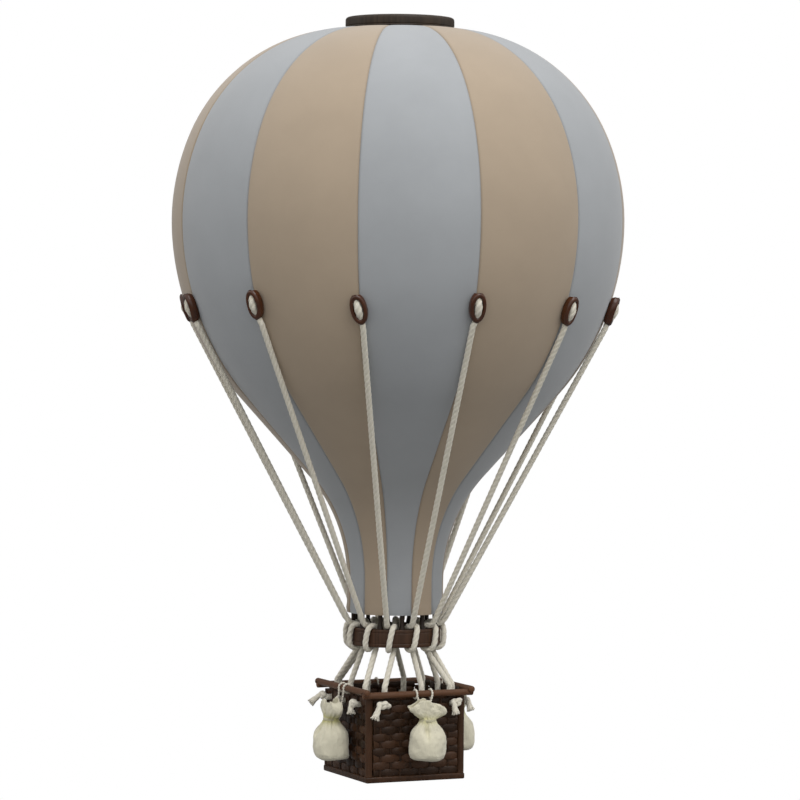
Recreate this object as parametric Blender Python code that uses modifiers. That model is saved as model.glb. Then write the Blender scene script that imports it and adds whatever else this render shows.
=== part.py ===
"""Hanging decoration: a hot air balloon about 0.5 m tall, with its basket and sandbags.

Blender 4.5 script, in metres, +Z up. The origin is the point where the hanging eye bears on
its hook. Depths are measured down from the top face of the crown ring. Yaw is measured in
degrees from the front (-Y) towards the right (+X).
"""

from math import asin, atan2, cos, degrees, pi, radians, sin

import bmesh
import bpy
from mathutils import Matrix, Vector

# Driving dimensions of the whole
MODEL = "hot_air_balloon"
GAP = 0.0003
RING_TOP_Z = -0.0010
GORE_COUNT = 12
GORE_ANGLE = 360 / GORE_COUNT
SEAM_YAW = -4.3
POST_YAW = -10.0
STAY_YAW = 0.0

# Envelope: arcs of the outer line, each tangent to the next
ENVELOPE_RADIUS = 0.1500
EQUATOR_DEPTH = 0.1353
CROWN_ARC = 0.1155
SHOULDER_ARC = 0.1464
WAIST_ARC = 0.1734
THROAT_ARC = 0.1050
CROWN_START = 91.5
CROWN_END = 23.3
CONE_SLOPE = 41.6
NECK_RADIUS = 0.0320
MOUTH_DEPTH = 0.3952
SHELL = 0.0060
GORE_STEPS = 4

# Crown ring, the disc that closes the crown, and the hanging eye
CROWN_RING_OUTER = 0.0362
CROWN_RING_INNER = 0.0280
CROWN_RING_HEIGHT = 0.0073
RING_EDGE = 0.0008
DISC_TOP = 0.0045
DISC_BOTTOM = 0.0085
EYE_RADIUS = 0.0026
EYE_WIRE = 0.0007
STEM_RADIUS = 0.0009
NUT_RADIUS = 0.0021
NUT_HEIGHT = 0.0012

# Eyelets on the seams
EYELET_DEPTH = 0.1923
EYELET_WIDTH = 0.0114
EYELET_HEIGHT = 0.0205
EYELET_THICK = 0.0062
WINDOW_WIDTH = 0.0052
WINDOW_HEIGHT = 0.0140
EYELET_ARC_STEPS = 7

# Stays: one cord from each eyelet, past the load ring, to the basket
CORD_RADIUS = 0.0021
CORD_OFFSET = 0.0029
CORD_START = 0.0045
KNOT_RADIUS = 0.0029
TAIL_LENGTH = 0.0095
TAIL_RADIUS = 0.0018

# Load ring and its posts
LOAD_RING_OUTER = 0.0305
LOAD_RING_INNER = 0.0255
LOAD_RING_DEPTH = 0.4047
LOAD_RING_HEIGHT = 0.0120
POST_RADIUS = 0.0013
POST_CIRCLE = 0.0280

# Basket
BASKET_HALF = 0.0357
BASKET_BOTTOM = 0.5043
BASE_THICK = 0.0040
STAKE_RADIUS = 0.0025
WALL_THICK = 0.0030
WALL_INSET = 0.0003
ROD_RADIUS = 0.0022
ROD_OUT = 0.0379
UPPER_ROD_DEPTH = 0.4444
LOWER_ROD_DEPTH = 0.4464
UPPER_ROD_HALF = 0.0415
LOWER_ROD_HALF = 0.0400
HOLE_RADIUS = 0.0026
HOLE_DEPTH = 0.4537
# Places of the stays along the front and back walls, and along the other two
STAY_LATERALS = (
    (-0.0195, 0.0060, 0.0266),
    (-0.0266, -0.0040, 0.0200),
)
LOOP_NOTCH_WIDTH = 0.0026

# Sandbags, each hung by a thin cord looped over a rim rod
BAG_OUT = 0.0480
BAG_NECK_DEPTH = 0.4642
LOOP_RADIUS = 0.0031
LOOP_CORD = 0.0006
STRAND_RADIUS = 0.0005
COLLAR_RADIUS = 0.0054
BAG_SIDES = 16
# Sections of a bag: depth, half width along the wall, half width across it
BAG_SECTIONS = (
    (0.4891, 0.0045, 0.0045),
    (0.4883, 0.0078, 0.0078),
    (0.4856, 0.0106, 0.0106),
    (0.4812, 0.0121, 0.0119),
    (0.4764, 0.0121, 0.0119),
    (0.4716, 0.0102, 0.0100),
    (0.4672, 0.0066, 0.0062),
    (0.4642, 0.0045, 0.0045),
    (0.4612, 0.0062, 0.0046),
    (0.4564, 0.0094, 0.0050),
    (0.4490, 0.0115, 0.0055),
)
# Basket sides: name, yaw of the side, depth of its rim rod, place of its bag along the wall
SIDES = (
    ("front", 0.0, LOWER_ROD_DEPTH, 0.0025),
    ("right", 90.0, UPPER_ROD_DEPTH, 0.0030),
    ("back", 180.0, LOWER_ROD_DEPTH, 0.0010),
    ("left", 270.0, UPPER_ROD_DEPTH, 0.0050),
)

# Finishes: red, green, blue, roughness, metallic
FINISHES = {
    "gore_beige": (0.520, 0.445, 0.350, 0.80, 0.0),
    "gore_grey_blue": (0.400, 0.420, 0.425, 0.80, 0.0),
    "crown_wood": (0.070, 0.040, 0.028, 0.45, 0.0),
    "eyelet_brown": (0.120, 0.045, 0.025, 0.25, 0.0),
    "cotton_cord": (0.550, 0.500, 0.410, 0.90, 0.0),
    "ring_wood": (0.060, 0.032, 0.022, 0.45, 0.0),
    "rattan": (0.050, 0.028, 0.018, 0.40, 0.0),
    "bag_cotton": (0.780, 0.720, 0.600, 0.90, 0.0),
    "brass": (0.620, 0.450, 0.200, 0.35, 1.0),
}


# Places

def down(depth):
    """Height of a point that lies the given depth under the crown ring's top face."""
    return RING_TOP_Z - depth


def around(radius, yaw, z):
    """A point at a yaw round the balloon's axis."""
    angle = radians(yaw)
    return Vector((radius * sin(angle), -radius * cos(angle), z))


def on_side(yaw, lateral, outward, depth):
    """A point by a basket side: lateral to the right as seen from outside, outward from the middle."""
    angle = radians(yaw)
    along = Vector((cos(angle), sin(angle), 0)) * lateral
    out = Vector((sin(angle), -cos(angle), 0)) * outward
    return along + out + Vector((0, 0, down(depth)))


def side_matrix(yaw, lateral, outward, depth):
    """Placement with local X along a basket side, Y towards the middle, Z up."""
    return Matrix.Translation(on_side(yaw, lateral, outward, depth)) @ Matrix.Rotation(radians(yaw), 4, "Z")


# Scene, finishes and objects

def start_scene():
    """Empty the scene and make the collections for the parts and for their cutters."""
    for old in list(bpy.data.objects):
        bpy.data.objects.remove(old, do_unlink=True)
    parts = bpy.data.collections.new(MODEL)
    cutters = bpy.data.collections.new("cutters")
    for group in (parts, cutters):
        bpy.context.scene.collection.children.link(group)
    return parts, cutters


def make_finish(name, red, green, blue, roughness, metallic):
    """A Principled material in one colour."""
    finish = bpy.data.materials.new(name)
    finish.use_nodes = True
    shader = finish.node_tree.nodes["Principled BSDF"]
    shader.inputs["Base Color"].default_value = (red, green, blue, 1.0)
    shader.inputs["Roughness"].default_value = roughness
    shader.inputs["Metallic"].default_value = metallic
    finish.diffuse_color = (red, green, blue, 1.0)
    return finish


PARTS, CUTTERS = start_scene()
MATERIALS = {name: make_finish(name, *values) for name, values in FINISHES.items()}


def add_part(name, data, finish, place=None):
    """Link one sub-part, with its finish and its place."""
    part = bpy.data.objects.new(name, data)
    PARTS.objects.link(part)
    if not data.materials:
        data.materials.append(MATERIALS[finish])
    if place is not None:
        part.matrix_world = place
    return part


def add_cutter(name, data, place=None):
    """Link a shape that is cut from a sub-part or joined to it."""
    cutter = bpy.data.objects.new(name, data)
    CUTTERS.objects.link(cutter)
    cutter.hide_render = True
    cutter.display_type = "WIRE"
    if place is not None:
        cutter.matrix_world = place
    return cutter


def combine(part, cutter, operation):
    """Cut one shape from a sub-part, or join the two."""
    step = part.modifiers.new(cutter.name, "BOOLEAN")
    step.operation = operation
    step.object = cutter
    return step


def mesh_from(bm, name):
    """Turn a bmesh into a mesh with its faces pointing out."""
    bmesh.ops.recalc_face_normals(bm, faces=bm.faces)
    mesh = bpy.data.meshes.new(name)
    bm.to_mesh(mesh)
    bm.free()
    return mesh


def shade_round(mesh, angle=35):
    """Smooth shading, with edges sharper than the angle kept sharp."""
    mesh.shade_smooth()
    mesh.set_sharp_from_angle(angle=radians(angle))
    return mesh


# Shapes

def box_into(bm, low, high):
    """Add a box between two corners."""
    size = Vector(high) - Vector(low)
    place = Matrix.Translation((Vector(high) + Vector(low)) / 2) @ Matrix.Diagonal(size).to_4x4()
    bmesh.ops.create_cube(bm, size=1.0, matrix=place)


def rod_into(bm, start, end, radius, sides=12):
    """Add a closed cylinder between two points."""
    start = Vector(start)
    line = Vector(end) - start
    turn = line.to_track_quat("Z", "Y").to_matrix().to_4x4()
    place = Matrix.Translation(start + line / 2) @ turn
    bmesh.ops.create_cone(bm, cap_ends=True, segments=sides, radius1=radius, radius2=radius,
                          depth=line.length, matrix=place)


def ball_into(bm, centre, radius, sides=8, rings=6):
    """Add a sphere."""
    bmesh.ops.create_uvsphere(bm, u_segments=sides, v_segments=rings, radius=radius,
                              matrix=Matrix.Translation(centre))


def wire_ring(name, place, ring_radius, wire_radius, ring_steps=12, wire_steps=6):
    """A ring of round wire about the local Z axis of its place, made by turning a circle."""
    bm = bmesh.new()
    stand = Matrix.Translation((ring_radius, 0, 0)) @ Matrix.Rotation(pi / 2, 4, "X")
    bmesh.ops.create_circle(bm, cap_ends=False, segments=wire_steps, radius=wire_radius, matrix=stand)
    bmesh.ops.spin(bm, geom=bm.verts[:] + bm.edges[:], cent=(0, 0, 0), axis=(0, 0, 1), angle=2 * pi,
                   steps=ring_steps, use_merge=True)
    bmesh.ops.transform(bm, matrix=place, verts=bm.verts)
    return shade_round(mesh_from(bm, name))


def add_turned(name, profile, steps, finish):
    """A turned sub-part: its section, run down the outer side and back up the inner one, with a Screw."""
    bm = bmesh.new()
    verts = [bm.verts.new((radius, 0, z)) for radius, z in profile]
    for first, second in zip(verts, verts[1:] + verts[:1]):
        bm.edges.new((first, second))
    mesh = bpy.data.meshes.new(name)
    bm.to_mesh(mesh)
    bm.free()
    part = add_part(name, mesh, finish)
    screw = part.modifiers.new("turn", "SCREW")
    screw.angle = 2 * pi
    screw.steps = steps
    screw.render_steps = steps
    screw.use_merge_vertices = True
    screw.merge_threshold = 0.00001
    screw.use_smooth_shade = True
    return part


def ring_profile(outer, inner, top_depth, bottom_depth, edge):
    """Section of a plain ring with a small flat on each edge, clockwise from the top's outer edge."""
    return (
        (outer - edge, down(top_depth)),
        (outer, down(top_depth + edge)),
        (outer, down(bottom_depth - edge)),
        (outer - edge, down(bottom_depth)),
        (inner + edge, down(bottom_depth)),
        (inner, down(bottom_depth - edge)),
        (inner, down(top_depth + edge)),
        (inner + edge, down(top_depth)),
    )


# Envelope

def envelope_line(inset):
    """The envelope's line from crown to mouth, set in by a distance, as (radius, depth) pairs."""
    shoulder_centre = ENVELOPE_RADIUS - SHOULDER_ARC
    waist_centre = ENVELOPE_RADIUS - WAIST_ARC
    crown_end = radians(CROWN_END)
    step_in = SHOULDER_ARC - CROWN_ARC
    crown_centre = shoulder_centre + step_in * cos(crown_end)
    crown_depth = EQUATOR_DEPTH - step_in * sin(crown_end)
    slope = radians(CONE_SLOPE)
    throat_centre = NECK_RADIUS + THROAT_ARC
    throat_end = throat_depth()

    # Arcs: centre radius, centre depth, arc radius, first and last angle of the normal, steps
    arcs = (
        (crown_centre, crown_depth, CROWN_ARC - inset, radians(CROWN_START), crown_end, 7),
        (shoulder_centre, EQUATOR_DEPTH, SHOULDER_ARC - inset, crown_end, 0.0, 3),
        (waist_centre, EQUATOR_DEPTH, WAIST_ARC - inset, 0.0, -slope, 5),
        (throat_centre, throat_end, -THROAT_ARC - inset, -slope, 0.0, 4),
    )
    line = []
    for centre, depth, radius, first, last, steps in arcs:
        for step in range(steps + 1):
            angle = first + (last - first) * step / steps
            point = (centre + radius * cos(angle), depth - radius * sin(angle))
            if not line or (Vector(point) - Vector(line[-1])).length > GAP:
                line.append(point)
    line.append((NECK_RADIUS - inset, MOUTH_DEPTH))
    return line


def throat_depth():
    """Depth where the throat's arc meets the straight neck."""
    slope = radians(CONE_SLOPE)
    waist_end = ENVELOPE_RADIUS - WAIST_ARC * (1 - cos(slope))
    throat_start = NECK_RADIUS + THROAT_ARC * (1 - cos(slope))
    cone_length = (waist_end - throat_start) / sin(slope)
    return EQUATOR_DEPTH + (WAIST_ARC + THROAT_ARC) * sin(slope) + cone_length * cos(slope)


def make_gores():
    """Twelve tapering panels, alternately beige and grey-blue, each a closed shell section."""
    outer = envelope_line(0.0)
    inner = envelope_line(SHELL)
    section = outer + inner[::-1]
    half = GORE_ANGLE / 2
    bm = bmesh.new()
    verts = [bm.verts.new(around(radius, -half, down(depth))) for radius, depth in section]
    face = bm.faces.new(verts)
    bmesh.ops.spin(bm, geom=[face] + list(face.edges) + verts, cent=(0, 0, 0), axis=(0, 0, 1),
                   angle=radians(GORE_ANGLE), steps=GORE_STEPS)
    for vert in bm.verts:
        yaw = degrees(atan2(vert.co.x, -vert.co.y))
        if abs(abs(yaw) - half) < 0.1:
            side = -1 if yaw > 0 else 1
            vert.co += around(side * GAP / 2, yaw + 90, 0)
    mesh = shade_round(mesh_from(bm, "gore"))
    meshes = {"gore_beige": mesh.copy(), "gore_grey_blue": mesh}
    for number in range(GORE_COUNT):
        finish = "gore_beige" if number % 2 == 0 else "gore_grey_blue"
        yaw = SEAM_YAW + half + number * GORE_ANGLE
        add_part(f"gore_{number + 1:02d}", meshes[finish], finish, Matrix.Rotation(radians(yaw), 4, "Z"))


# Crown

def make_crown():
    """The crown ring, the disc that closes it, and the eye that the balloon hangs by."""
    add_turned("crown_ring", ring_profile(CROWN_RING_OUTER, CROWN_RING_INNER, 0.0, CROWN_RING_HEIGHT,
                                          RING_EDGE), 36, "crown_wood")
    stem_hole = STEM_RADIUS + GAP
    disc_radius = CROWN_RING_INNER - GAP
    add_turned("crown_disc", ((disc_radius, down(DISC_TOP)), (disc_radius, down(DISC_BOTTOM)),
                              (stem_hole, down(DISC_BOTTOM)), (stem_hole, down(DISC_TOP))),
               36, "crown_wood")

    centre = Vector((0, 0, EYE_WIRE - EYE_RADIUS))
    upright = Matrix.Translation(centre) @ Matrix.Rotation(pi / 2, 4, "X")
    eye = add_part("hanging_eye", wire_ring("hanging_eye", upright, EYE_RADIUS, EYE_WIRE, 16, 8), "brass")
    bm = bmesh.new()
    nut_top = down(DISC_BOTTOM) - GAP
    rod_into(bm, (0, 0, centre.z - EYE_RADIUS), (0, 0, nut_top - NUT_HEIGHT / 2), STEM_RADIUS, 10)
    combine(eye, add_cutter("eye_stem", mesh_from(bm, "eye_stem")), "UNION")
    bm = bmesh.new()
    rod_into(bm, (0, 0, nut_top), (0, 0, nut_top - NUT_HEIGHT), NUT_RADIUS, 6)
    combine(eye, add_cutter("eye_nut", mesh_from(bm, "eye_nut")), "UNION")


# Eyelets

def eyelet_matrix(yaw):
    """Placement on the envelope: local X along it, Y up it and Z out of it."""
    lift = asin((EQUATOR_DEPTH - EYELET_DEPTH) / WAIST_ARC)
    radius = ENVELOPE_RADIUS - WAIST_ARC + WAIST_ARC * cos(lift)
    angle = radians(yaw)
    out = Vector((sin(angle), -cos(angle), 0))
    up = Vector((0, 0, 1))
    axes = (Vector((cos(angle), sin(angle), 0)), up * cos(lift) - out * sin(lift),
            out * cos(lift) + up * sin(lift))
    place = Matrix(axes).transposed().to_4x4()
    place.translation = around(radius, yaw, down(EYELET_DEPTH))
    return place


def stadium(curve, width, height):
    """Add an upright outline with half-round ends to a flat curve."""
    radius = width / 2
    straight = height / 2 - radius
    points = []
    for side in (1, -1):
        for step in range(EYELET_ARC_STEPS + 1):
            angle = pi * step / EYELET_ARC_STEPS
            points.append((side * radius * cos(angle), side * (straight + radius * sin(angle))))
    spline = curve.splines.new("POLY")
    spline.points.add(len(points) - 1)
    for point, (x, y) in zip(spline.points, points):
        point.co = (x, y, 0, 1)
    spline.use_cyclic_u = True


def curve_to_mesh(curve, name, place=None):
    """The evaluated mesh of a curve, with its caps welded."""
    holder = bpy.data.objects.new(name, curve)
    PARTS.objects.link(holder)
    bpy.context.view_layer.update()
    depsgraph = bpy.context.evaluated_depsgraph_get()
    mesh = bpy.data.meshes.new_from_object(holder.evaluated_get(depsgraph))
    bpy.data.objects.remove(holder, do_unlink=True)
    bm = bmesh.new()
    bm.from_mesh(mesh)
    bmesh.ops.remove_doubles(bm, verts=bm.verts, dist=0.00001)
    bpy.data.meshes.remove(mesh)
    if place is not None:
        bmesh.ops.transform(bm, matrix=place, verts=bm.verts)
    return mesh_from(bm, name)


def make_eyelets():
    """Oval rings on the seams, each with a groove behind its lower bar for the cord."""
    curve = bpy.data.curves.new("eyelet", "CURVE")
    curve.dimensions = "2D"
    curve.fill_mode = "BOTH"
    curve.extrude = EYELET_THICK / 2
    stadium(curve, EYELET_WIDTH, EYELET_HEIGHT)
    stadium(curve, WINDOW_WIDTH, WINDOW_HEIGHT)
    seat = Matrix.Translation((0, 0, GAP + EYELET_THICK / 2))
    mesh = shade_round(curve_to_mesh(curve, "eyelet", seat))

    groove_half = CORD_RADIUS + GAP
    groove_top = CORD_OFFSET + CORD_RADIUS + GAP
    bm = bmesh.new()
    box_into(bm, (-groove_half, -EYELET_HEIGHT, -GAP), (groove_half, -WINDOW_HEIGHT / 4, groove_top))
    groove = mesh_from(bm, "eyelet_groove")
    for number in range(GORE_COUNT):
        place = eyelet_matrix(SEAM_YAW + number * GORE_ANGLE)
        part = add_part(f"eyelet_{number + 1:02d}", mesh, "eyelet_brown", place)
        combine(part, add_cutter(f"eyelet_groove_{number + 1:02d}", groove, place), "DIFFERENCE")


# Load ring

def make_load_ring():
    """The wooden ring under the mouth, with the short posts that join the two."""
    part = add_turned("load_ring", ring_profile(LOAD_RING_OUTER, LOAD_RING_INNER, LOAD_RING_DEPTH,
                                                LOAD_RING_DEPTH + LOAD_RING_HEIGHT, RING_EDGE),
                      36, "ring_wood")
    bm = bmesh.new()
    for number in range(GORE_COUNT):
        yaw = POST_YAW + number * GORE_ANGLE
        top = around(POST_CIRCLE, yaw, down(MOUTH_DEPTH + GAP))
        foot = around(POST_CIRCLE, yaw, down(LOAD_RING_DEPTH + LOAD_RING_HEIGHT / 4))
        rod_into(bm, foot, top, POST_RADIUS, 8)
    combine(part, add_cutter("ring_posts", mesh_from(bm, "ring_posts")), "UNION")


# Stays

def side_laterals(yaw):
    """Places of the three stays along a basket side."""
    return STAY_LATERALS[round(yaw / 90) % 2]


def stay_side(number):
    """Yaw of the basket side that a stay ends on, and its place along that side."""
    turn, place = divmod(number + 1, 3)
    return 90.0 * turn, side_laterals(90.0 * turn)[place]


def stay_points(number):
    """A stay's route: eyelet, load ring, down inside the basket's rim, out through the wall."""
    eyelet = eyelet_matrix(SEAM_YAW + number * GORE_ANGLE)
    below = EYELET_HEIGHT / 2 + CORD_RADIUS
    points = [eyelet @ Vector((0, CORD_START, CORD_OFFSET)), eyelet @ Vector((0, -below, CORD_OFFSET))]
    ring_radius = LOAD_RING_OUTER + GAP + CORD_RADIUS
    ring_yaw = STAY_YAW + number * GORE_ANGLE
    for depth in (LOAD_RING_DEPTH, LOAD_RING_DEPTH + LOAD_RING_HEIGHT):
        points.append(around(ring_radius, ring_yaw, down(depth)))

    yaw, lateral = stay_side(number)
    inside = BASKET_HALF - WALL_INSET - WALL_THICK - GAP - CORD_RADIUS
    points.append(on_side(yaw, lateral, inside, UPPER_ROD_DEPTH - ROD_RADIUS))
    bend = HOLE_RADIUS + GAP
    for step in range(4):
        angle = pi / 2 * step / 3
        points.append(on_side(yaw, lateral, inside + bend * (1 - cos(angle)),
                              HOLE_DEPTH - bend + bend * sin(angle)))
    points.append(on_side(yaw, lateral, BASKET_HALF + KNOT_RADIUS, HOLE_DEPTH))
    return points


def make_stays():
    """Twelve taut cords, each knotted outside the basket wall with a short free tail."""
    for number in range(GORE_COUNT):
        name = f"stay_{number + 1:02d}"
        points = stay_points(number)
        curve = bpy.data.curves.new(name, "CURVE")
        curve.dimensions = "3D"
        curve.bevel_depth = CORD_RADIUS
        curve.bevel_resolution = 2
        curve.use_fill_caps = True
        spline = curve.splines.new("POLY")
        spline.points.add(len(points) - 1)
        for control, point in zip(spline.points, points):
            control.co = (*point, 1)
        part = add_part(name, shade_round(curve_to_mesh(curve, name)), "cotton_cord")

        yaw, lateral = stay_side(number)
        knot_out = BASKET_HALF + KNOT_RADIUS
        knot = on_side(yaw, lateral, knot_out, HOLE_DEPTH)
        bm = bmesh.new()
        ball_into(bm, knot, KNOT_RADIUS)
        combine(part, add_cutter(f"{name}_knot", mesh_from(bm, f"{name}_knot")), "UNION")
        tail_end = on_side(yaw, lateral - TAIL_LENGTH * 0.45, knot_out, HOLE_DEPTH + TAIL_LENGTH)
        bm = bmesh.new()
        rod_into(bm, knot, tail_end, TAIL_RADIUS, 6)
        combine(part, add_cutter(f"{name}_tail", mesh_from(bm, f"{name}_tail")), "UNION")


# Basket

def make_basket_base():
    """The floor with the four corner stakes."""
    half = BASKET_HALF
    bm = bmesh.new()
    box_into(bm, (-half, -half, down(BASKET_BOTTOM)), (half, half, down(BASKET_BOTTOM - BASE_THICK)))
    part = add_part("basket_base", mesh_from(bm, "basket_base"), "rattan")
    corner = half - STAKE_RADIUS
    stake_top = LOWER_ROD_DEPTH + ROD_RADIUS + GAP
    bm = bmesh.new()
    for x in (-corner, corner):
        for y in (-corner, corner):
            rod_into(bm, (x, y, down(BASKET_BOTTOM - BASE_THICK / 2)), (x, y, down(stake_top)), STAKE_RADIUS)
    combine(part, add_cutter("corner_stakes", mesh_from(bm, "corner_stakes")), "UNION")


def make_wall(name, yaw, rod_depth, bag_lateral):
    """One woven side, up to the middle of its rim rod: a hole for each stay, a notch for the sandbag's loop."""
    outer = BASKET_HALF - WALL_INSET
    inner = outer - WALL_THICK
    half = BASKET_HALF - 2 * STAKE_RADIUS - GAP
    top = down(rod_depth)
    turn = Matrix.Rotation(radians(yaw), 4, "Z")
    bm = bmesh.new()
    box_into(bm, (-half, -outer, down(BASKET_BOTTOM - BASE_THICK) + GAP), (half, -inner, top))
    part = add_part(f"basket_wall_{name}", mesh_from(bm, f"basket_wall_{name}"), "rattan", turn)
    bm = bmesh.new()
    for lateral in side_laterals(yaw):
        rod_into(bm, (lateral, -outer - WALL_THICK, down(HOLE_DEPTH)),
                 (lateral, -inner + WALL_THICK, down(HOLE_DEPTH)), HOLE_RADIUS)
    loop_foot = top - LOOP_RADIUS - LOOP_CORD - GAP
    box_into(bm, (bag_lateral - LOOP_NOTCH_WIDTH / 2, -outer - WALL_THICK, loop_foot),
             (bag_lateral + LOOP_NOTCH_WIDTH / 2, -inner + WALL_THICK, top + WALL_THICK))
    cutter_name = f"wall_openings_{name}"
    combine(part, add_cutter(cutter_name, mesh_from(bm, cutter_name), turn), "DIFFERENCE")


def make_rod(name, yaw, rod_depth):
    """One rim rod, outside its wall; the side rods are notched where they cross over the other two."""
    turn = Matrix.Rotation(radians(yaw), 4, "Z")
    half = UPPER_ROD_HALF if rod_depth == UPPER_ROD_DEPTH else LOWER_ROD_HALF
    bm = bmesh.new()
    rod_into(bm, (-half, -ROD_OUT, down(rod_depth)), (half, -ROD_OUT, down(rod_depth)), ROD_RADIUS, 16)
    part = add_part(f"rim_rod_{name}", shade_round(mesh_from(bm, f"rim_rod_{name}")), "rattan", turn)
    if rod_depth == LOWER_ROD_DEPTH:
        return
    crossing, reach = down(LOWER_ROD_DEPTH), UPPER_ROD_HALF / 4
    bm = bmesh.new()
    for x in (-ROD_OUT, ROD_OUT):
        rod_into(bm, (x, -ROD_OUT - reach, crossing), (x, -ROD_OUT + reach, crossing), ROD_RADIUS + GAP, 20)
    cutter_name = f"rod_notches_{name}"
    combine(part, add_cutter(cutter_name, mesh_from(bm, cutter_name), turn), "DIFFERENCE")


# Sandbags

def bag_mesh():
    """A filled pouch with a gathered neck and a flared top, lofted through oval sections."""
    bm = bmesh.new()
    rings = []
    for depth, half_along, half_across in BAG_SECTIONS:
        ring = []
        for step in range(BAG_SIDES):
            angle = 2 * pi * step / BAG_SIDES
            ring.append(bm.verts.new((half_along * cos(angle), half_across * sin(angle),
                                      BAG_NECK_DEPTH - depth)))
        rings.append(ring)
    for lower, upper in zip(rings, rings[1:]):
        for step in range(BAG_SIDES):
            after = (step + 1) % BAG_SIDES
            bm.faces.new((lower[step], lower[after], upper[after], upper[step]))
    bm.faces.new(rings[0][::-1])
    bm.faces.new(rings[-1])
    return shade_round(mesh_from(bm, "sandbag"), 60)


def make_bag_cord(name, yaw, rod_depth, lateral):
    """A loop over the rim rod, a strand, and a collar round the bag's neck."""
    turn = Matrix.Rotation(radians(yaw), 4, "Z")
    loop_place = Matrix.Translation((lateral, -ROD_OUT, down(rod_depth))) @ Matrix.Rotation(pi / 2, 4, "Y")
    part_name = f"sandbag_cord_{name}"
    part = add_part(part_name, wire_ring(part_name, loop_place, LOOP_RADIUS, LOOP_CORD), "cotton_cord", turn)

    collar_name = f"{part_name}_collar"
    collar_place = Matrix.Translation((lateral, -BAG_OUT, down(BAG_NECK_DEPTH)))
    collar = wire_ring(collar_name, collar_place, COLLAR_RADIUS, LOOP_CORD)
    combine(part, add_cutter(collar_name, collar, turn), "UNION")

    lean = LOOP_RADIUS * 0.7
    bm = bmesh.new()
    rod_into(bm, (lateral, -ROD_OUT - lean, down(rod_depth) - lean),
             (lateral, -BAG_OUT + COLLAR_RADIUS, down(BAG_NECK_DEPTH)), STRAND_RADIUS, 6)
    strand_name = f"{part_name}_strand"
    combine(part, add_cutter(strand_name, mesh_from(bm, strand_name), turn), "UNION")


def make_sides():
    """Walls, rim rods and sandbags of the four sides."""
    bag = bag_mesh()
    for name, yaw, rod_depth, bag_lateral in SIDES:
        make_wall(name, yaw, rod_depth, bag_lateral)
        make_rod(name, yaw, rod_depth)
        add_part(f"sandbag_{name}", bag, "bag_cotton", side_matrix(yaw, bag_lateral, BAG_OUT, BAG_NECK_DEPTH))
        make_bag_cord(name, yaw, rod_depth, bag_lateral)


make_gores()
make_crown()
make_eyelets()
make_load_ring()
make_stays()
make_basket_base()
make_sides()
bpy.context.view_layer.update()
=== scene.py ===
# %% [markdown]
# # A hanging hot air balloon, piece by piece
# The object is a room decoration about half a metre tall: a cloth envelope sewn from twelve tapering gores,
# a dark turned ring at the crown, a second ring under the mouth, twelve cotton cords and a small woven
# basket with four sandbags. The solids of the real construction are already there, packed as a frame.
# This lesson dresses them: each cell builds one piece or one finish, in metres, in the frame's own place.

# %% Load the frame
from math import asin, atan2, cos, degrees, pi, radians, sin, sqrt, tau

import bmesh
import bpy
import numpy as np
from mathutils import Matrix, Vector, noise


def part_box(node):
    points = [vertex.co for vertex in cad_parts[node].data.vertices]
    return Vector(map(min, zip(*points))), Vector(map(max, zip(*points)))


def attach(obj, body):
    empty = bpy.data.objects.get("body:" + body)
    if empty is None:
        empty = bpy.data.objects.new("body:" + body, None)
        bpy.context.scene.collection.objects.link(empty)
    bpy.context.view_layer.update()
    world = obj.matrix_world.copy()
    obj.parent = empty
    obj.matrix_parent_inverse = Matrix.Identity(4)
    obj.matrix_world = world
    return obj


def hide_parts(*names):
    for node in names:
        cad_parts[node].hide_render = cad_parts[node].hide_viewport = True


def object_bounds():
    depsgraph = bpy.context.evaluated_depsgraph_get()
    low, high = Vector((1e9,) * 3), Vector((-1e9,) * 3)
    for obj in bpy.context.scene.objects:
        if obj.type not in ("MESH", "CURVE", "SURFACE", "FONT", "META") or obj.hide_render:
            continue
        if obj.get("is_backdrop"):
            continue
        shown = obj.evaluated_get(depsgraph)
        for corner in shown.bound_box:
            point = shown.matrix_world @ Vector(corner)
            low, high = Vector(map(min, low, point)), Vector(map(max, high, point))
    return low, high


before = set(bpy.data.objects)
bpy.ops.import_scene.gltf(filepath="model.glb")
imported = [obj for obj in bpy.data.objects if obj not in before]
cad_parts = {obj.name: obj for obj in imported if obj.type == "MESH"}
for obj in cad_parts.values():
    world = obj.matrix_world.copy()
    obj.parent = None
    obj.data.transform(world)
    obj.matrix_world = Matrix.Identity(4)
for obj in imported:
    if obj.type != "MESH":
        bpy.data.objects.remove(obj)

cad_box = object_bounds()
MM = 0.001

# %% [markdown]
# ## Sizes
# Heights come from the frame's boxes, so a piece can't drift from the solid that it dresses. Depths are
# measured down from the top of the crown ring, and yaw runs from the front (-Y) towards the right (+X).
# The arcs of the envelope's outline are repeated here, because a finer surface needs the curve itself.

# %% Sizes from the frame, and the envelope's arcs
RING_TOP_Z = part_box("crown_ring")[1].z
MOUTH_DEPTH = RING_TOP_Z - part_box("gore_01")[0].z
BASKET_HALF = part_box("basket_base")[1].x
BASKET_BOTTOM = RING_TOP_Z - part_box("basket_base")[0].z
GORE_COUNT = 12
GORE_ANGLE = 360 / GORE_COUNT
SEAM_YAW, POST_YAW = -4.3, -14.5
ENVELOPE_RADIUS, NECK_RADIUS = 150.0 * MM, 32.0 * MM
EQUATOR_DEPTH = 135.3 * MM
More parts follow.
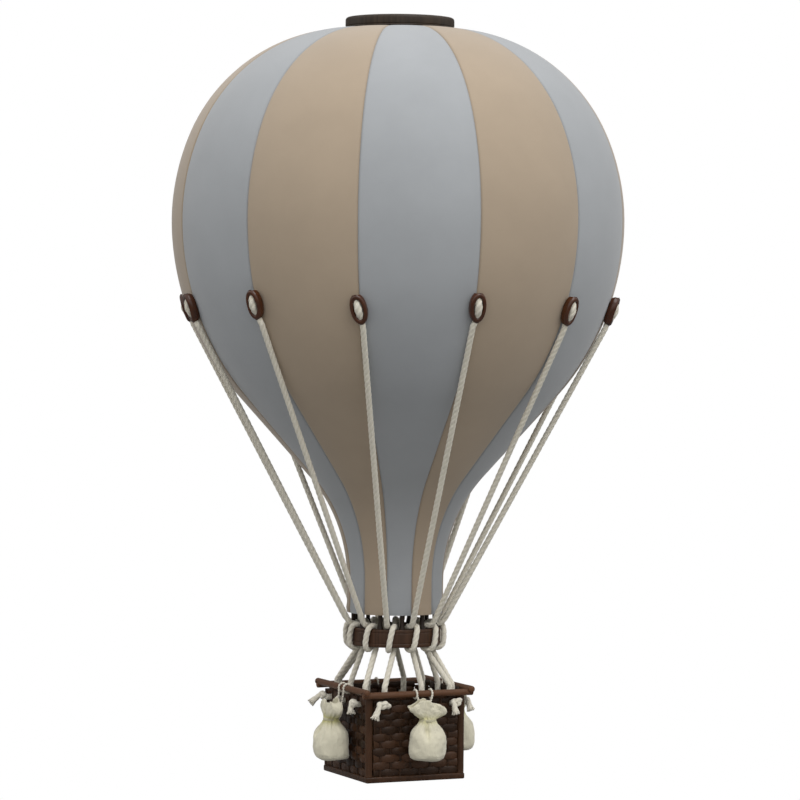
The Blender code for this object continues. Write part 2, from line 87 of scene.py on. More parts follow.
# Radii of the arcs down the outline, and the slopes at which they meet
CROWN_ARC, SHOULDER_ARC, WAIST_ARC, THROAT_ARC = 115.5 * MM, 146.4 * MM, 173.4 * MM, 105 * MM
CROWN_START, CROWN_END, CONE_SLOPE = radians(91.5), radians(23.3), radians(41.6)
SHELL = 6.0 * MM
print(f"crown to basket floor {BASKET_BOTTOM * 1000:.1f} mm, mouth at {MOUTH_DEPTH * 1000:.1f} mm")

# %% Places
def down(depth):
    """Height of a point that lies the given depth under the crown ring's top."""
    return RING_TOP_Z - depth


def around(radius, yaw, z, aside=0.0):
    """A point at a yaw round the axis, with a step aside along the tangent."""
    angle = radians(yaw)
    return Vector((radius * sin(angle) + aside * cos(angle), -radius * cos(angle) + aside * sin(angle), z))


def on_side(yaw, lateral, outward, depth):
    """A point by a basket side: lateral to the right as seen from outside, outward from the middle."""
    return around(outward, yaw, down(depth), lateral)


print("foot of the basket's front:", [round(c, 4) for c in on_side(0, 0, BASKET_HALF, BASKET_BOTTOM)])

# %% [markdown]
# ## Camera
# The photograph looks at the balloon from its left front, from a little above the middle, through a long
# lens. The line of sight dips by a degree and a half, and the picture is turned by half a degree, which
# makes the plumb balloon lean to the left at its foot. A constraint could aim the camera, but a turn that
# is worked out from where it stands and what it looks at has nothing hidden in it.

# %% Camera
CAMERA_YAW = -24.6
CAMERA_DISTANCE, CAMERA_Z = 2.323, -0.1918
CAMERA_LENS, CAMERA_SENSOR, CAMERA_REACH = 156.9, 36.0, 40.0
CAMERA_ROLL = 0.50
TARGET_Z, TARGET_ASIDE = -0.2549, 2.2 * MM


def into_scene(name, data):
    """A new object that holds the data, linked to the scene."""
    thing = bpy.data.objects.new(name, data)
    bpy.context.scene.collection.objects.link(thing)
    return thing


camera = into_scene("camera", bpy.data.cameras.new("camera"))
bpy.context.scene.camera = camera
camera.data.lens = CAMERA_LENS
camera.data.sensor_width = CAMERA_SENSOR
camera.data.clip_end = CAMERA_REACH
camera.location = around(CAMERA_DISTANCE, CAMERA_YAW, CAMERA_Z)
sight = around(0, CAMERA_YAW, TARGET_Z, TARGET_ASIDE) - camera.location
camera.rotation_mode = "QUATERNION"
camera.rotation_quaternion = (sight.to_track_quat("-Z", "Y").to_matrix()
                              @ Matrix.Rotation(radians(CAMERA_ROLL), 3, "Z")).to_quaternion()
print("camera at", [round(c, 3) for c in camera.location])

# %% [markdown]
# ## Making meshes
# Nearly every piece here is a section carried along a line: a cord, a rod, a ring, a strip of weave, even a
# gore. So one small set of helpers does the work. `skin` turns a grid of points into faces, `sweep` places a
# section along a path without letting it spin, and `rounded` softens the corners of a route as a cord does.
# A curve object with a bevel would draw a cord too, but it can't carry the marks that the finishes read.

# %% Faces over a grid of points
def skin(grid, wrap=True, loop=False, caps=True, marks=None):
    """Faces over a grid of points, wrapped across, and looped or capped along.

    Returns points, faces, a run map in metres for each corner (x across, y along) and a mark for each point.
    """
    points = np.array([[tuple(p) for p in ring] for ring in grid])
    rings, sides = points.shape[:2]
    around_steps = np.linalg.norm(np.roll(points, -1, axis=1) - points, axis=2)
    x = np.c_[np.zeros(rings), np.cumsum(around_steps, axis=1)]
    middles = points.mean(axis=1) if wrap else points[:, sides // 2]
    if not wrap:
        x -= x[:, sides // 2][:, None]
    y = np.r_[0, np.cumsum(np.linalg.norm(np.roll(middles, -1, axis=0) - middles, axis=1))]
    faces, runs = [], []
    for i in range(rings if loop else rings - 1):
        step = sides if i < rings - 1 else -i * sides
        after = (i + 1) % rings
        for j in range(sides if wrap else sides - 1):
            a, b = i * sides + j, i * sides + (j + 1) % sides
            faces.append((a, b, b + step, a + step))
            runs += [(x[i, j], y[i]), (x[i, j + 1], y[i]),
                     (x[after, j + 1], y[i + 1]), (x[after, j], y[i + 1])]
    if wrap and caps and not loop:
        for first in (0, (rings - 1) * sides):
            faces.append(tuple(range(first, first + sides)))
            runs += [(points[first // sides, j, 0], points[first // sides, j, 1]) for j in range(sides)]
    verts = points.reshape(-1, 3)
    return verts, faces, runs, np.zeros(len(verts)) if marks is None else np.ravel(marks)


def joined(shapes):
    """Several shapes as one."""
    verts, faces, runs, marks, base = [], [], [], [], 0
    for more_verts, more_faces, more_runs, more_marks in shapes:
        verts.append(more_verts)
        faces += [tuple(base + i for i in face) for face in more_faces]
        runs += more_runs
        marks.append(more_marks)
        base += len(more_verts)
    return np.concatenate(verts), faces, runs, np.concatenate(marks)

# %% A mesh, and a piece with its finish
def to_mesh(name, shape, sharp=40, mark="seam"):
    """A smooth-shaded mesh with its run map, its marks and its faces pointing out."""
    verts, faces, runs, marks = shape
    mesh = bpy.data.meshes.new(name)
    mesh.from_pydata(verts.tolist(), [], faces)
    mesh.uv_layers.new(name="run").data.foreach_set("uv", np.ravel(runs))
    mesh.attributes.new(mark, "FLOAT", "POINT").data.foreach_set("value", np.asarray(marks, float))
    bm = bmesh.new()
    bm.from_mesh(mesh)
    bmesh.ops.recalc_face_normals(bm, faces=bm.faces)
    bm.to_mesh(mesh)
    bm.free()
    mesh.shade_smooth()
    mesh.set_sharp_from_angle(angle=radians(sharp))
    return mesh


def add_piece(name, shape, finish, slot, stands_for=(), body="balloon", **mesh_settings):
    """Link one piece, give it its finish, hang it on its body, and hide the solids that it stands for."""
    mesh = to_mesh(name, shape, **mesh_settings)
    piece = into_scene(name, mesh)
    mesh.materials.append(finish)
    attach(piece, body)
    if stands_for:
        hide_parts(*stands_for)
    print(f"{name}: {len(mesh.polygons)} faces")
    return piece

# %% Paths
def resample(points, step):
    """The same line with points a step apart."""
    points = np.array([tuple(p) for p in points])
    runs = np.r_[0, np.cumsum(np.linalg.norm(np.diff(points, axis=0), axis=1))]
    count = max(2, round(runs[-1] / step) + 1)
    at = np.linspace(0, runs[-1], count)
    return np.stack([np.interp(at, runs, points[:, axis]) for axis in range(3)], axis=1)


def eased_corner(first, corner, last, steps):
    """Points of a soft bend between two points that leans towards the corner."""
    return [first * (1 - t) ** 2 + corner * 2 * t * (1 - t) + last * t ** 2
            for t in (k / steps for k in range(steps + 1))]


def rounded(points, bend, step):
    """A route of straight runs whose corners are eased over the given length."""
    points = [Vector(p) for p in points]
    line = [points[0]]
    for before, corner, after in zip(points, points[1:], points[2:]):
        first = corner + (before - corner) * min(0.5, bend / (before - corner).length)
        last = corner + (after - corner) * min(0.5, bend / (after - corner).length)
        line += eased_corner(first, corner, last, 6)
    line.append(points[-1])
    return resample(line, step)


def sweep(path, section, twist=0.0, size=None, up=(0.31, 0.22, 0.93)):
    """Rings of a section along a path: carried without spin, then turned by a steady twist per metre."""
    path = np.asarray(path, float)
    lines = np.gradient(path, axis=0)
    lines /= np.linalg.norm(lines, axis=1)[:, None]
    side = np.cross(lines[0], up)
    side /= np.linalg.norm(side)
    run, rings = 0.0, []
    for i, (point, line) in enumerate(zip(path, lines)):
        side = side - line * side.dot(line)
        side /= np.linalg.norm(side)
        other = np.cross(line, side)
        if i:
            run += np.linalg.norm(point - path[i - 1])
        c, s = cos(twist * run), sin(twist * run)
        scale = 1.0 if size is None else size[i]
        spun = [((x * c - y * s) * scale, (x * s + y * c) * scale) for x, y in section]
        rings.append([point + side * x + other * y for x, y in spun])
    return rings

# %% Sections
def once_round(count):
    """Even angles once round a circle."""
    return np.linspace(0, tau, count + 1)[:-1]


def round_section(radius, sides, power=2.0, squash=1.0):
    """A circle, oval or softened box as a closed section."""
    angles = [tau * k / sides for k in range(sides)]
    return [(radius * abs(cos(a)) ** (2 / power) * (1 if cos(a) > 0 else -1),
             radius * squash * abs(sin(a)) ** (2 / power) * (1 if sin(a) > 0 else -1)) for a in angles]


def turned(profile, steps, corner=0.0, fine=4):
    """A closed profile of (radius, depth) points, its corners rounded, turned about the axis."""
    points = [Vector(p) for p in profile]
    soft = []
    for k, here in enumerate(points):
        before, after = points[k - 1] - here, points[(k + 1) % len(points)] - here
        reach = min(corner, before.length * 0.45, after.length * 0.45)
        if reach < 1e-6:
            soft.append(here)
        else:
            first, last = here + before.normalized() * reach, here + after.normalized() * reach
            soft += eased_corner(first, here, last, fine)
    grid = [[around(r, 360 * k / steps, down(d)) for r, d in soft] for k in range(steps)]
    return skin(grid, wrap=True, loop=True)


def twisted_section(plies, radius, sides_each, depth=0.22):
    """The outline of a cord laid up from a few plies: round lobes with soft grooves between them."""
    out, ply = radius * depth, radius * (1 - depth)
    section = []
    for lobe in range(plies):
        for k in range(sides_each):
            off = (k / sides_each - 0.5) * tau / plies
            reach = out * cos(off) + sqrt(ply * ply - (out * sin(off)) ** 2)
            angle = off + lobe * tau / plies
            section.append((reach * cos(angle), reach * sin(angle)))
    return section


def hum(x, y, z, size, seed=0.0):
    """Smooth unevenness between -1 and 1 that is the same on every run."""
    return noise.noise(Vector((x / size + seed, y / size - seed, z / size + 2 * seed)))

# %% [markdown]
# ## Effects that several finishes share
# A woven thread, a soft patchiness, long streaks, worn edges and settled dust turn up in more than one
# finish. Each is a node group, built once, with sizes in metres, and each finish places it with its own
# values. The groups give only values and masks; the Principled shader stays in the finish itself.

# %% Helpers for shader nodes
def put(tree, kind, inputs=None, **settings):
    """Add a shader node, set its properties, and set or link its inputs."""
    node = tree.nodes.new("ShaderNode" + kind)
    for key, value in settings.items():
        setattr(node, key, value)
    for key, value in (inputs or {}).items():
        if isinstance(value, bpy.types.NodeSocket):
            tree.links.new(value, node.inputs[key])
        else:
            node.inputs[key].default_value = value
    return node


def reckon(tree, operation, first, second=0.0):
    """The result of one Math node."""
    return put(tree, "Math", {0: first, 1: second}, operation=operation).outputs[0]


def times(tree, first, second):
    """One value multiplied by another."""
    return reckon(tree, "MULTIPLY", first, second)


def plus(tree, first, second):
    """The sum of two values."""
    return reckon(tree, "ADD", first, second)


def spread(tree, value, low, high, to_low=0.0, to_high=1.0):
    """A value mapped from one range to another and held there."""
    return put(tree, "MapRange", {0: value, 1: low, 2: high, 3: to_low, 4: to_high}).outputs[0]


def tint(tree, mask, first, second):
    """Two colours mixed by a mask."""
    return put(tree, "Mix", {0: mask, 6: first, 7: second}, data_type="RGBA").outputs[2]


def make_group(name, inputs, outputs):
    """An empty shader node group with its sockets; returns the tree, its inputs and its outputs."""
    tree = bpy.data.node_groups.new(name, "ShaderNodeTree")
    for title, kind, value in inputs:
        socket = tree.interface.new_socket(title, in_out="INPUT", socket_type="NodeSocket" + kind)
        if value is not None:
            socket.default_value = value
    for title in outputs:
        tree.interface.new_socket(title, in_out="OUTPUT", socket_type="NodeSocketFloat")
    print(f"node group {name} gives", ", ".join(outputs))
    return tree, tree.nodes.new("NodeGroupInput").outputs, tree.nodes.new("NodeGroupOutput").inputs


def noise_at(tree, place, scale, detail=2.0, rough=0.5):
    """A noise value at a place; the scale is in features per metre."""
    settings = {"Vector": place, "Scale": scale, "Detail": detail, "Roughness": rough}
    return put(tree, "TexNoise", settings).outputs[0]

# %% Node group: woven threads
WEAVE, given, results = make_group("woven threads", [("Run", "Vector", None), ("Pitch", "Float", 0.0007)],
                                   ["Height", "Shade"])
axes = put(WEAVE, "SeparateXYZ", {0: given["Run"]}).outputs
turn_rate = reckon(WEAVE, "DIVIDE", tau, given["Pitch"])
waves = [reckon(WEAVE, "SINE", times(WEAVE, axes[k], turn_rate)) for k in (0, 1)]
checks = times(WEAVE, *waves)
slubs = noise_at(WEAVE, given["Run"], 900, 3)
WEAVE.links.new(plus(WEAVE, times(WEAVE, checks, 0.5), slubs), results["Height"])
WEAVE.links.new(spread(WEAVE, plus(WEAVE, checks, slubs), -0.4, 1.5), results["Shade"])

# %% Node group: soft patches
PATCHES, given, results = make_group("soft patches", [("Place", "Vector", None), ("Size", "Float", 0.03)],
                                     ["Value"])
patch_noise = noise_at(PATCHES, given["Place"], reckon(PATCHES, "DIVIDE", 1.0, given["Size"]), 4, 0.6)
PATCHES.links.new(spread(PATCHES, patch_noise, 0.3, 0.7), results["Value"])

# %% Node group: streaks along a piece
STREAKS, given, results = make_group(
    "streaks", [("Run", "Vector", None), ("Width", "Float", 0.0004), ("Length", "Float", 0.01)],
    ["Value", "Fine"])
axes = put(STREAKS, "SeparateXYZ", {0: given["Run"]}).outputs
stretched = put(STREAKS, "CombineXYZ", {0: reckon(STREAKS, "DIVIDE", axes[0], given["Width"]),
                                        1: reckon(STREAKS, "DIVIDE", axes[1], given["Length"]),
                                        2: axes[2]}).outputs[0]
STREAKS.links.new(spread(STREAKS, noise_at(STREAKS, stretched, 1.0, 3, 0.6), 0.25, 0.75), results["Value"])
STREAKS.links.new(noise_at(STREAKS, stretched, 3.1, 2), results["Fine"])

# %% Node group: worn edges
WEAR, given, results = make_group("worn edges", [("Place", "Vector", None), ("Amount", "Float", 0.5)],
                                  ["Mask"])
bulge = spread(WEAR, put(WEAR, "NewGeometry").outputs["Pointiness"], 0.505, 0.58)
scuffs = spread(WEAR, noise_at(WEAR, given["Place"], 260, 4, 0.65), 0.35, 0.65)
WEAR.links.new(times(WEAR, times(WEAR, bulge, scuffs), given["Amount"]), results["Mask"])

# %% Node group: settled dust
DUST, given, results = make_group("settled dust", [("Place", "Vector", None), ("Amount", "Float", 0.3)],
                                  ["Mask"])
upward = put(DUST, "SeparateXYZ", {0: put(DUST, "NewGeometry").outputs["Normal"]}).outputs[2]
clumps = spread(DUST, noise_at(DUST, given["Place"], 120, 5, 0.7), 0.3, 0.75, 0.3, 1.0)
lying = times(DUST, spread(DUST, upward, 0.1, 1.0), clumps)
DUST.links.new(times(DUST, lying, given["Amount"]), results["Mask"])

# %% [markdown]
# ## Finishes
# Each finish below is one function, because the beige and the grey-blue gores, or the wood of the two
# rings, differ only in colour. What is the same all over a surface, such as sheen or coat, is set on the
# shader's own socket. What changes over it comes from the groups.

# %% A blank finish to start from
def start_finish(name, rough, **sockets):
    """A material with its shader, the two kinds of place, and the constants on the shader's sockets."""
    print("finish:", name)
    finish = bpy.data.materials.new(name)
    finish.use_nodes = True
    tree = finish.node_tree
    shader = tree.nodes["Principled BSDF"]
    shader.inputs["Roughness"].default_value = rough
    for key, value in sockets.items():
        shader.inputs[key.replace("_", " ")].default_value = value
    run = put(tree, "UVMap", uv_map="run").outputs[0]
    place = put(tree, "TexCoord").outputs["Object"]
    return finish, tree, shader, run, place


def group_node(tree, group, **inputs):
    """Place a node group and return its outputs."""
    return put(tree, "Group", {key.capitalize(): value for key, value in inputs.items()},
               node_tree=group).outputs


def marked(tree, name):
    """The value that the mesh carries under a name."""
    return put(tree, "Attribute", attribute_name=name).outputs["Fac"]


def finish_with(tree, shader, colour, height, distance, rough=None):
    """Wire the colour, the bump and, where it changes, the roughness into the shader."""
    tree.links.new(colour, shader.inputs["Base Color"])
    bump = put(tree, "Bump", {"Height": height, "Distance": distance})
    tree.links.new(bump.outputs[0], shader.inputs["Normal"])
    if rough is not None:
        tree.links.new(rough, shader.inputs["Roughness"])


def shade(colour, factor):
    """A colour made lighter or darker, with its alpha."""
    return tuple(min(1.0, c * factor) for c in colour[:3]) + (1.0,)

# %% [markdown]
# ### Envelope cloth
# The gores are a dense plain cotton. From a step away it looks quite even: broad faint patches, a little
# sheen, and a line of painted shade where the cloth dives into each seam. The mesh carries that seam line
# as an attribute, 1 in the seam and 0 a few millimetres off it. Towards the mouth, where the envelope above
# shades the throat, painted shade darkens the cloth a little.

# %% Envelope cloth
# Depths between which painted shade darkens the cloth towards the mouth, and how much of it is mixed in there
MOUTH_SHADE_FROM, MOUTH_SHADE_TO, MOUTH_SHADE_SHARE = 295 * MM, 320 * MM, 0.10


def make_gore_cloth(name, colour):
    """Plain cotton of one colour, with painted shade in its seams and towards the mouth."""
    finish, tree, shader, run, place = start_finish(name, 0.85, Sheen_Weight=0.35, Sheen_Roughness=0.45)
    weave = group_node(tree, WEAVE, run=run, pitch=0.0007)
    patches = group_node(tree, PATCHES, place=place, size=0.045)[0]
    seam = marked(tree, "seam")
    base = tint(tree, patches, shade(colour, 0.955), shade(colour, 1.035))
    base = tint(tree, times(tree, weave["Shade"], 0.10), base, shade(colour, 0.72))
    # Painted shade in the seams, where the cloth dives in
    base = tint(tree, times(tree, seam, 0.30), base, shade(colour, 0.45))
    # Painted shade towards the mouth, where the envelope above shades the throat
    height_up = put(tree, "SeparateXYZ", {0: place}).outputs[2]
    painted_mouth_shade = spread(tree, height_up, down(MOUTH_SHADE_FROM), down(MOUTH_SHADE_TO), 0.0, MOUTH_SHADE_SHARE)
    base = tint(tree, painted_mouth_shade, base, shade(colour, 0.1))
    pucker = group_node(tree, STREAKS, run=run, width=0.006, length=0.0022)["Value"]
    pucker = times(tree, pucker, spread(tree, seam, 0.0, 0.4, 0.0, 3.0))
    finish_with(tree, shader, base, plus(tree, times(tree, weave["Height"], 0.35), pucker), 0.00006)
    return finish


GORE_COLOURS = {"beige": (0.398, 0.314, 0.228), "grey-blue": (0.354, 0.368, 0.383)}
gore_cloths = [make_gore_cloth(f"{hue} cotton", colour) for hue, colour in GORE_COLOURS.items()]

# %% [markdown]
# ### Cord
# The cords are soft undyed cotton laid up from three plies. The lay is real geometry, so the finish only
# adds the fibres, which run along the plies, a warm unevenness, and painted shade in the grooves. The same
# cotton serves the thin cords of the sandbags.

# %% Cord
# Colour of the painted shade in the grooves between the plies; the bags' ties take it as their dye
CORD_GROOVE = (0.50, 0.47, 0.30, 1.0)


def make_cord_cotton(name, colour, fibre):
    """Soft cotton with fibres of the given width, with painted shade in the grooves between its plies."""
    finish, tree, shader, run, place = start_finish(name, 0.9, Sheen_Weight=0.3, Sheen_Roughness=0.5)
    fibres = group_node(tree, STREAKS, run=run, width=fibre, length=fibre * 14)
    patches = group_node(tree, PATCHES, place=place, size=0.02)[0]
    base = tint(tree, patches, shade(colour, 0.94), shade(colour, 1.06))
    base = tint(tree, fibres["Value"], base, shade(colour, 0.93))
    base = tint(tree, times(tree, marked(tree, "seam"), 0.25), base, CORD_GROOVE)
    finish_with(tree, shader, base, fibres["Fine"], 0.00012)
    return finish


cord_cotton = make_cord_cotton("undyed cord", (0.800, 0.750, 0.640), 0.00025)

# %% [markdown]
# ### Stained wood
# Both rings are turned wood under a nearly black stain. The grain runs straight through the ring from side
# to side, so it follows object space rather than the turning, and the stain has rubbed thin on the edges.

# %% Stained wood
WOOD_DUST = (0.30, 0.27, 0.24, 1.0)


def make_stained_wood(name, dark, light, rough):
    """Turned wood between a dark and a light stain, paler where it is worn."""
    finish, tree, shader, run, place = start_finish(name, rough, Coat_Weight=0.06, Coat_Roughness=0.3,
                                                    Specular_IOR_Level=0.22)
    axes = put(tree, "SeparateXYZ", {0: place}).outputs
    planks = put(tree, "CombineXYZ", {0: axes[1], 1: axes[0], 2: axes[2]}).outputs[0]
    grain = group_node(tree, STREAKS, run=planks, width=0.0011, length=0.022)
    wear = group_node(tree, WEAR, place=place, amount=0.55)["Mask"]
    dust = group_node(tree, DUST, place=place, amount=0.04)["Mask"]
    base = tint(tree, grain["Value"], shade(dark, 1.0), shade(light, 1.0))
    base = tint(tree, wear, base, shade(light, 2.2))
    base = tint(tree, dust, base, WOOD_DUST)
    rough_map = spread(tree, grain["Value"], 0.0, 1.0, rough - 0.06, rough + 0.12)
    finish_with(tree, shader, base, grain["Fine"], 0.00012, rough_map)
    return finish


crown_wood = make_stained_wood("crown wood", (0.013, 0.009, 0.006), (0.046, 0.032, 0.022), 0.42)
ring_wood = make_stained_wood("ring wood", (0.022, 0.011, 0.005), (0.078, 0.036, 0.019), 0.40)
peg_wood = make_stained_wood("peg wood", (0.008, 0.005, 0.003), (0.024, 0.013, 0.008), 0.45)

# %% [markdown]
# ### Rattan
# The basket is flat cane and round cane under a dark glossy stain. Every strip took the stain a little
# differently, so the mesh carries a tone for each strip, and the fibres run along it.

# %% Rattan
RATTAN_DUST = (0.26, 0.22, 0.19, 1.0)


def make_rattan(name, dark, light, rough):
    """Stained cane: the mesh's own tone for each strip, with a little of the fibres mixed in."""
    finish, tree, shader, run, place = start_finish(name, rough, Coat_Weight=0.09, Coat_Roughness=0.12,
                                                    Specular_IOR_Level=0.16)
    fibres = group_node(tree, STREAKS, run=run, width=0.00045, length=0.014)
    tone = marked(tree, "tone")
    wear = group_node(tree, WEAR, place=place, amount=0.25)["Mask"]
    dust = group_node(tree, DUST, place=place, amount=0.02)["Mask"]
    mixed = plus(tree, times(tree, fibres["Value"], 0.14), times(tree, tone, 0.86))
    base = tint(tree, mixed, shade(dark, 1.0), shade(light, 1.0))
    base = tint(tree, wear, base, shade(light, 0.9))
    base = tint(tree, dust, base, RATTAN_DUST)
    rough_map = spread(tree, fibres["Value"], 0.0, 1.0, rough - 0.05, rough + 0.14)
    finish_with(tree, shader, base, fibres["Fine"], 0.00016, rough_map)
    return finish


rattan = make_rattan("stained rattan", (0.0070, 0.0030, 0.0008), (0.166, 0.075, 0.037), 0.28)

# %% [markdown]
# ### Eyelets, bags and brass
# The eyelets are moulded in glossy red-brown, with a faint swirl in the colour. The sandbags are calico,
# coarser than the envelope and creased. The hanging eye is dull brass wire. None of them needs an effect of
# its own: they place the same groups with other values, and a clear coat makes the eyelets' gloss.

# %% Moulded eyelets
def make_moulded(name, colour):
    """Glossy moulded brown with a faint swirl."""
    finish, tree, shader, run, place = start_finish(name, 0.24, Coat_Weight=0.40, Coat_Roughness=0.08,
                                                    Specular_IOR_Level=0.28)
    swirl = group_node(tree, PATCHES, place=place, size=0.006)[0]
    wear = group_node(tree, WEAR, place=place, amount=0.35)["Mask"]
    base = tint(tree, swirl, shade(colour, 0.65), shade(colour, 1.35))
    base = tint(tree, wear, base, shade(colour, 2.4))
    rough_map = spread(tree, swirl, 0.0, 1.0, 0.17, 0.30)
    finish_with(tree, shader, base, swirl, 0.00004, rough_map)
    return finish


moulded_brown = make_moulded("moulded brown", (0.056, 0.014, 0.002))

# %% Calico
# Yellowed cloth at the neck; the same colour is the painted shade along the front crease
CALICO_YELLOW = (0.56, 0.53, 0.25, 1.0)


def make_calico(name, colour):
    """Coarse creased cotton, yellowed at the neck, with painted shade along its front crease."""
    finish, tree, shader, run, place = start_finish(name, 0.88, Sheen_Weight=0.25, Sheen_Roughness=0.5)
    weave = group_node(tree, WEAVE, run=run, pitch=0.0008)
    patches = group_node(tree, PATCHES, place=place, size=0.012)[0]
    creases = group_node(tree, STREAKS, run=run, width=0.0018, length=0.009)["Value"]
    seam = marked(tree, "seam")
    base = tint(tree, patches, shade(colour, 0.90), shade(colour, 1.04))
    base = tint(tree, times(tree, weave["Shade"], 0.25), base, shade(colour, 0.72))
    base = tint(tree, times(tree, seam, 0.60), base, CALICO_YELLOW)
    finish_with(tree, shader, base, plus(tree, weave["Height"], times(tree, creases, 2.0)), 0.00010)
    return finish


calico = make_calico("calico", (0.750, 0.705, 0.545))

# %% Brass
DULL_BRASS, BARE_BRASS = (0.30, 0.20, 0.09, 1), (0.62, 0.45, 0.20, 1)
brass, tree, shader, run, place = start_finish("dull brass", 0.38, Metallic=1.0)
tarnish = group_node(tree, PATCHES, place=place, size=0.002)[0]
finish_with(tree, shader, tint(tree, tarnish, DULL_BRASS, BARE_BRASS), tarnish, 0.00003)

# %% [markdown]
# ## Envelope
# A gore is a long panel that bends only gently, so its surface is worked out rather than sculpted: the
# envelope's arcs give the line from crown to mouth, and each gore carries that line round its own thirty
# degrees. Close to a seam the cloth turns inwards, which with a line of painted shade gives the thin dark
# line between the panels.

# %% The envelope's line
ENVELOPE_STEP = 3.0 * MM
ARC_POINTS = 60


def envelope_arcs():
    """Arcs of the outline: centre radius, centre depth, signed radius, first and last slope."""
    shoulder, waist = ENVELOPE_RADIUS - SHOULDER_ARC, ENVELOPE_RADIUS - WAIST_ARC
    step_in = SHOULDER_ARC - CROWN_ARC
    waist_end = ENVELOPE_RADIUS - WAIST_ARC * (1 - cos(CONE_SLOPE))
    throat_start = NECK_RADIUS + THROAT_ARC * (1 - cos(CONE_SLOPE))
    cone = (waist_end - throat_start) / sin(CONE_SLOPE)
    throat_depth = EQUATOR_DEPTH + (WAIST_ARC + THROAT_ARC) * sin(CONE_SLOPE) + cone * cos(CONE_SLOPE)
    return (
        (shoulder + step_in * cos(CROWN_END), EQUATOR_DEPTH - step_in * sin(CROWN_END), CROWN_ARC,
         CROWN_START, CROWN_END),
        (shoulder, EQUATOR_DEPTH, SHOULDER_ARC, CROWN_END, 0.0),
        (waist, EQUATOR_DEPTH, WAIST_ARC, 0.0, -CONE_SLOPE),
        (NECK_RADIUS + THROAT_ARC, throat_depth, -THROAT_ARC, -CONE_SLOPE, 0.0),
    )


def envelope_line(step):
    """Even steps down the envelope: radius, depth, and the outward normal's slope above level."""
    line = []
    for centre, depth, arc, first, last in envelope_arcs():
        for angle in np.linspace(first, last, ARC_POINTS):
            line.append((centre + arc * cos(angle), depth - arc * sin(angle), angle))
    line.append((NECK_RADIUS, MOUTH_DEPTH, 0.0))
    line = np.array(line)
    runs = np.r_[0, np.cumsum(np.hypot(*np.diff(line[:, :2], axis=0).T))]
    at = np.linspace(0, runs[-1], round(runs[-1] / step))
    return np.stack([np.interp(at, runs, line[:, k]) for k in range(3)], axis=1), runs[-1]


envelope, envelope_length = envelope_line(ENVELOPE_STEP)
gore_width = radians(GORE_ANGLE) * ENVELOPE_RADIUS
print(f"a gore is {envelope_length * 1000:.0f} mm long and {gore_width * 1000:.0f} mm wide at most")

# %% The outer face of a gore
# Distances from a seam, in millimetres, at which the face has its first points
SEAM_STEPS = (0.04, 0.3, 0.6, 1.0, 1.6, 2.8)
# Half widths of a gore: where those distances start to shrink, and where its puff is full
SEAM_FULL_HALF, PUFF_HALF = 14 * MM, 39 * MM
SEAM_GAP = 0.04 * MM
SEAM_DEPTH, SEAM_WIDTH = 0.6 * MM, 0.7 * MM
# How wide the seam is marked for the finish: its line of painted shade, and a faint painted shadow beside it
SEAM_LINE, SEAM_SHADOW = 0.75 * MM, 4 * MM
PUFF = 0.5 * MM
RIPPLE, RIPPLE_SIZE = 0.30 * MM, 0.055
HEM_HEIGHT, HEM_PROUD = 4.5 * MM, 0.45 * MM


def gore_surface(yaw):
    """The outer face of one gore: a grid of points and how close each is to a seam."""
    grid, marks = [], []
    for radius, depth, slope in envelope:
        half = radius * radians(GORE_ANGLE / 2)
        near = [s * MM * min(1.0, half / SEAM_FULL_HALF) for s in SEAM_STEPS]
        offs = near + [near[-1] + (half - near[-1]) * k / 6 for k in range(1, 7)]
        rights = [half - e for e in offs]
        sides = [-r for r in rights[:-1]] + rights[::-1]
        hem = max(0.0, 1 - abs(MOUTH_DEPTH - HEM_HEIGHT / 2 - depth) / (HEM_HEIGHT / 2))
        row, mark = [], []
        for across in sides:
            gap = half - abs(across)
            dip = np.exp(-(gap / SEAM_WIDTH) ** 2)
            lift = PUFF * half / PUFF_HALF * (1 - (across / half) ** 2) - SEAM_DEPTH * dip
            lift += RIPPLE * hum(across, depth, yaw * 0.01, RIPPLE_SIZE, yaw) * (1 - dip)
            lift += HEM_PROUD * min(1.0, hem * 3) * (1 - dip)
            out = radius + lift * cos(slope)
            row.append(around(out, yaw + degrees(across / radius), down(depth) + lift * sin(slope)))
            # A line of painted shade in the seam, and a faint painted shadow beside it
            mark.append(np.exp(-(gap / SEAM_LINE) ** 2) + 0.10 * np.exp(-(gap / SEAM_SHADOW)))
        grid.append(row)
        marks.append(mark)
    return grid, marks

# %% Twelve gores
def gore_shape(yaw):
    """A closed gore: its outer face carried round both edges to an inner face one shell below."""
    grid, marks = gore_surface(yaw)
    rings, ring_marks = [], []
    for (radius, depth, slope), row, mark in zip(envelope, grid, marks):
        half = GORE_ANGLE / 2 - degrees(SEAM_GAP / radius)
        inside = [around(radius - SHELL * cos(slope), yaw + half * k, down(depth) - SHELL * sin(slope))
                  for k in (1, 0.5, 0, -0.5, -1)]
        rings.append(row + inside)
        ring_marks.append(mark + [0.0] * len(inside))
    return skin(rings, marks=ring_marks)


for number in range(GORE_COUNT):
    gore_yaw = SEAM_YAW + GORE_ANGLE * (number + 0.5)
    gore_slot = ("gore_beige", "gore_grey_blue")[number % 2]
    add_piece(f"gore_cloth_{number + 1:02d}", gore_shape(gore_yaw), gore_cloths[number % 2], gore_slot,
              [f"gore_{number + 1:02d}"], sharp=50)

# %% [markdown]
# ## Crown
# The crown ring is turned: flat on top with a soft outer corner, a shallow groove near its foot, and a
# plain bore. Inside it a thin disc closes the crown, and the wire eye passes through the disc to a nut.
# Turned pieces are made as on a lathe: the profile is a short list of corners, which `turned` eases and
# carries round the axis. A modifier could spin it as well, but the mesh wouldn't get its run map that way.

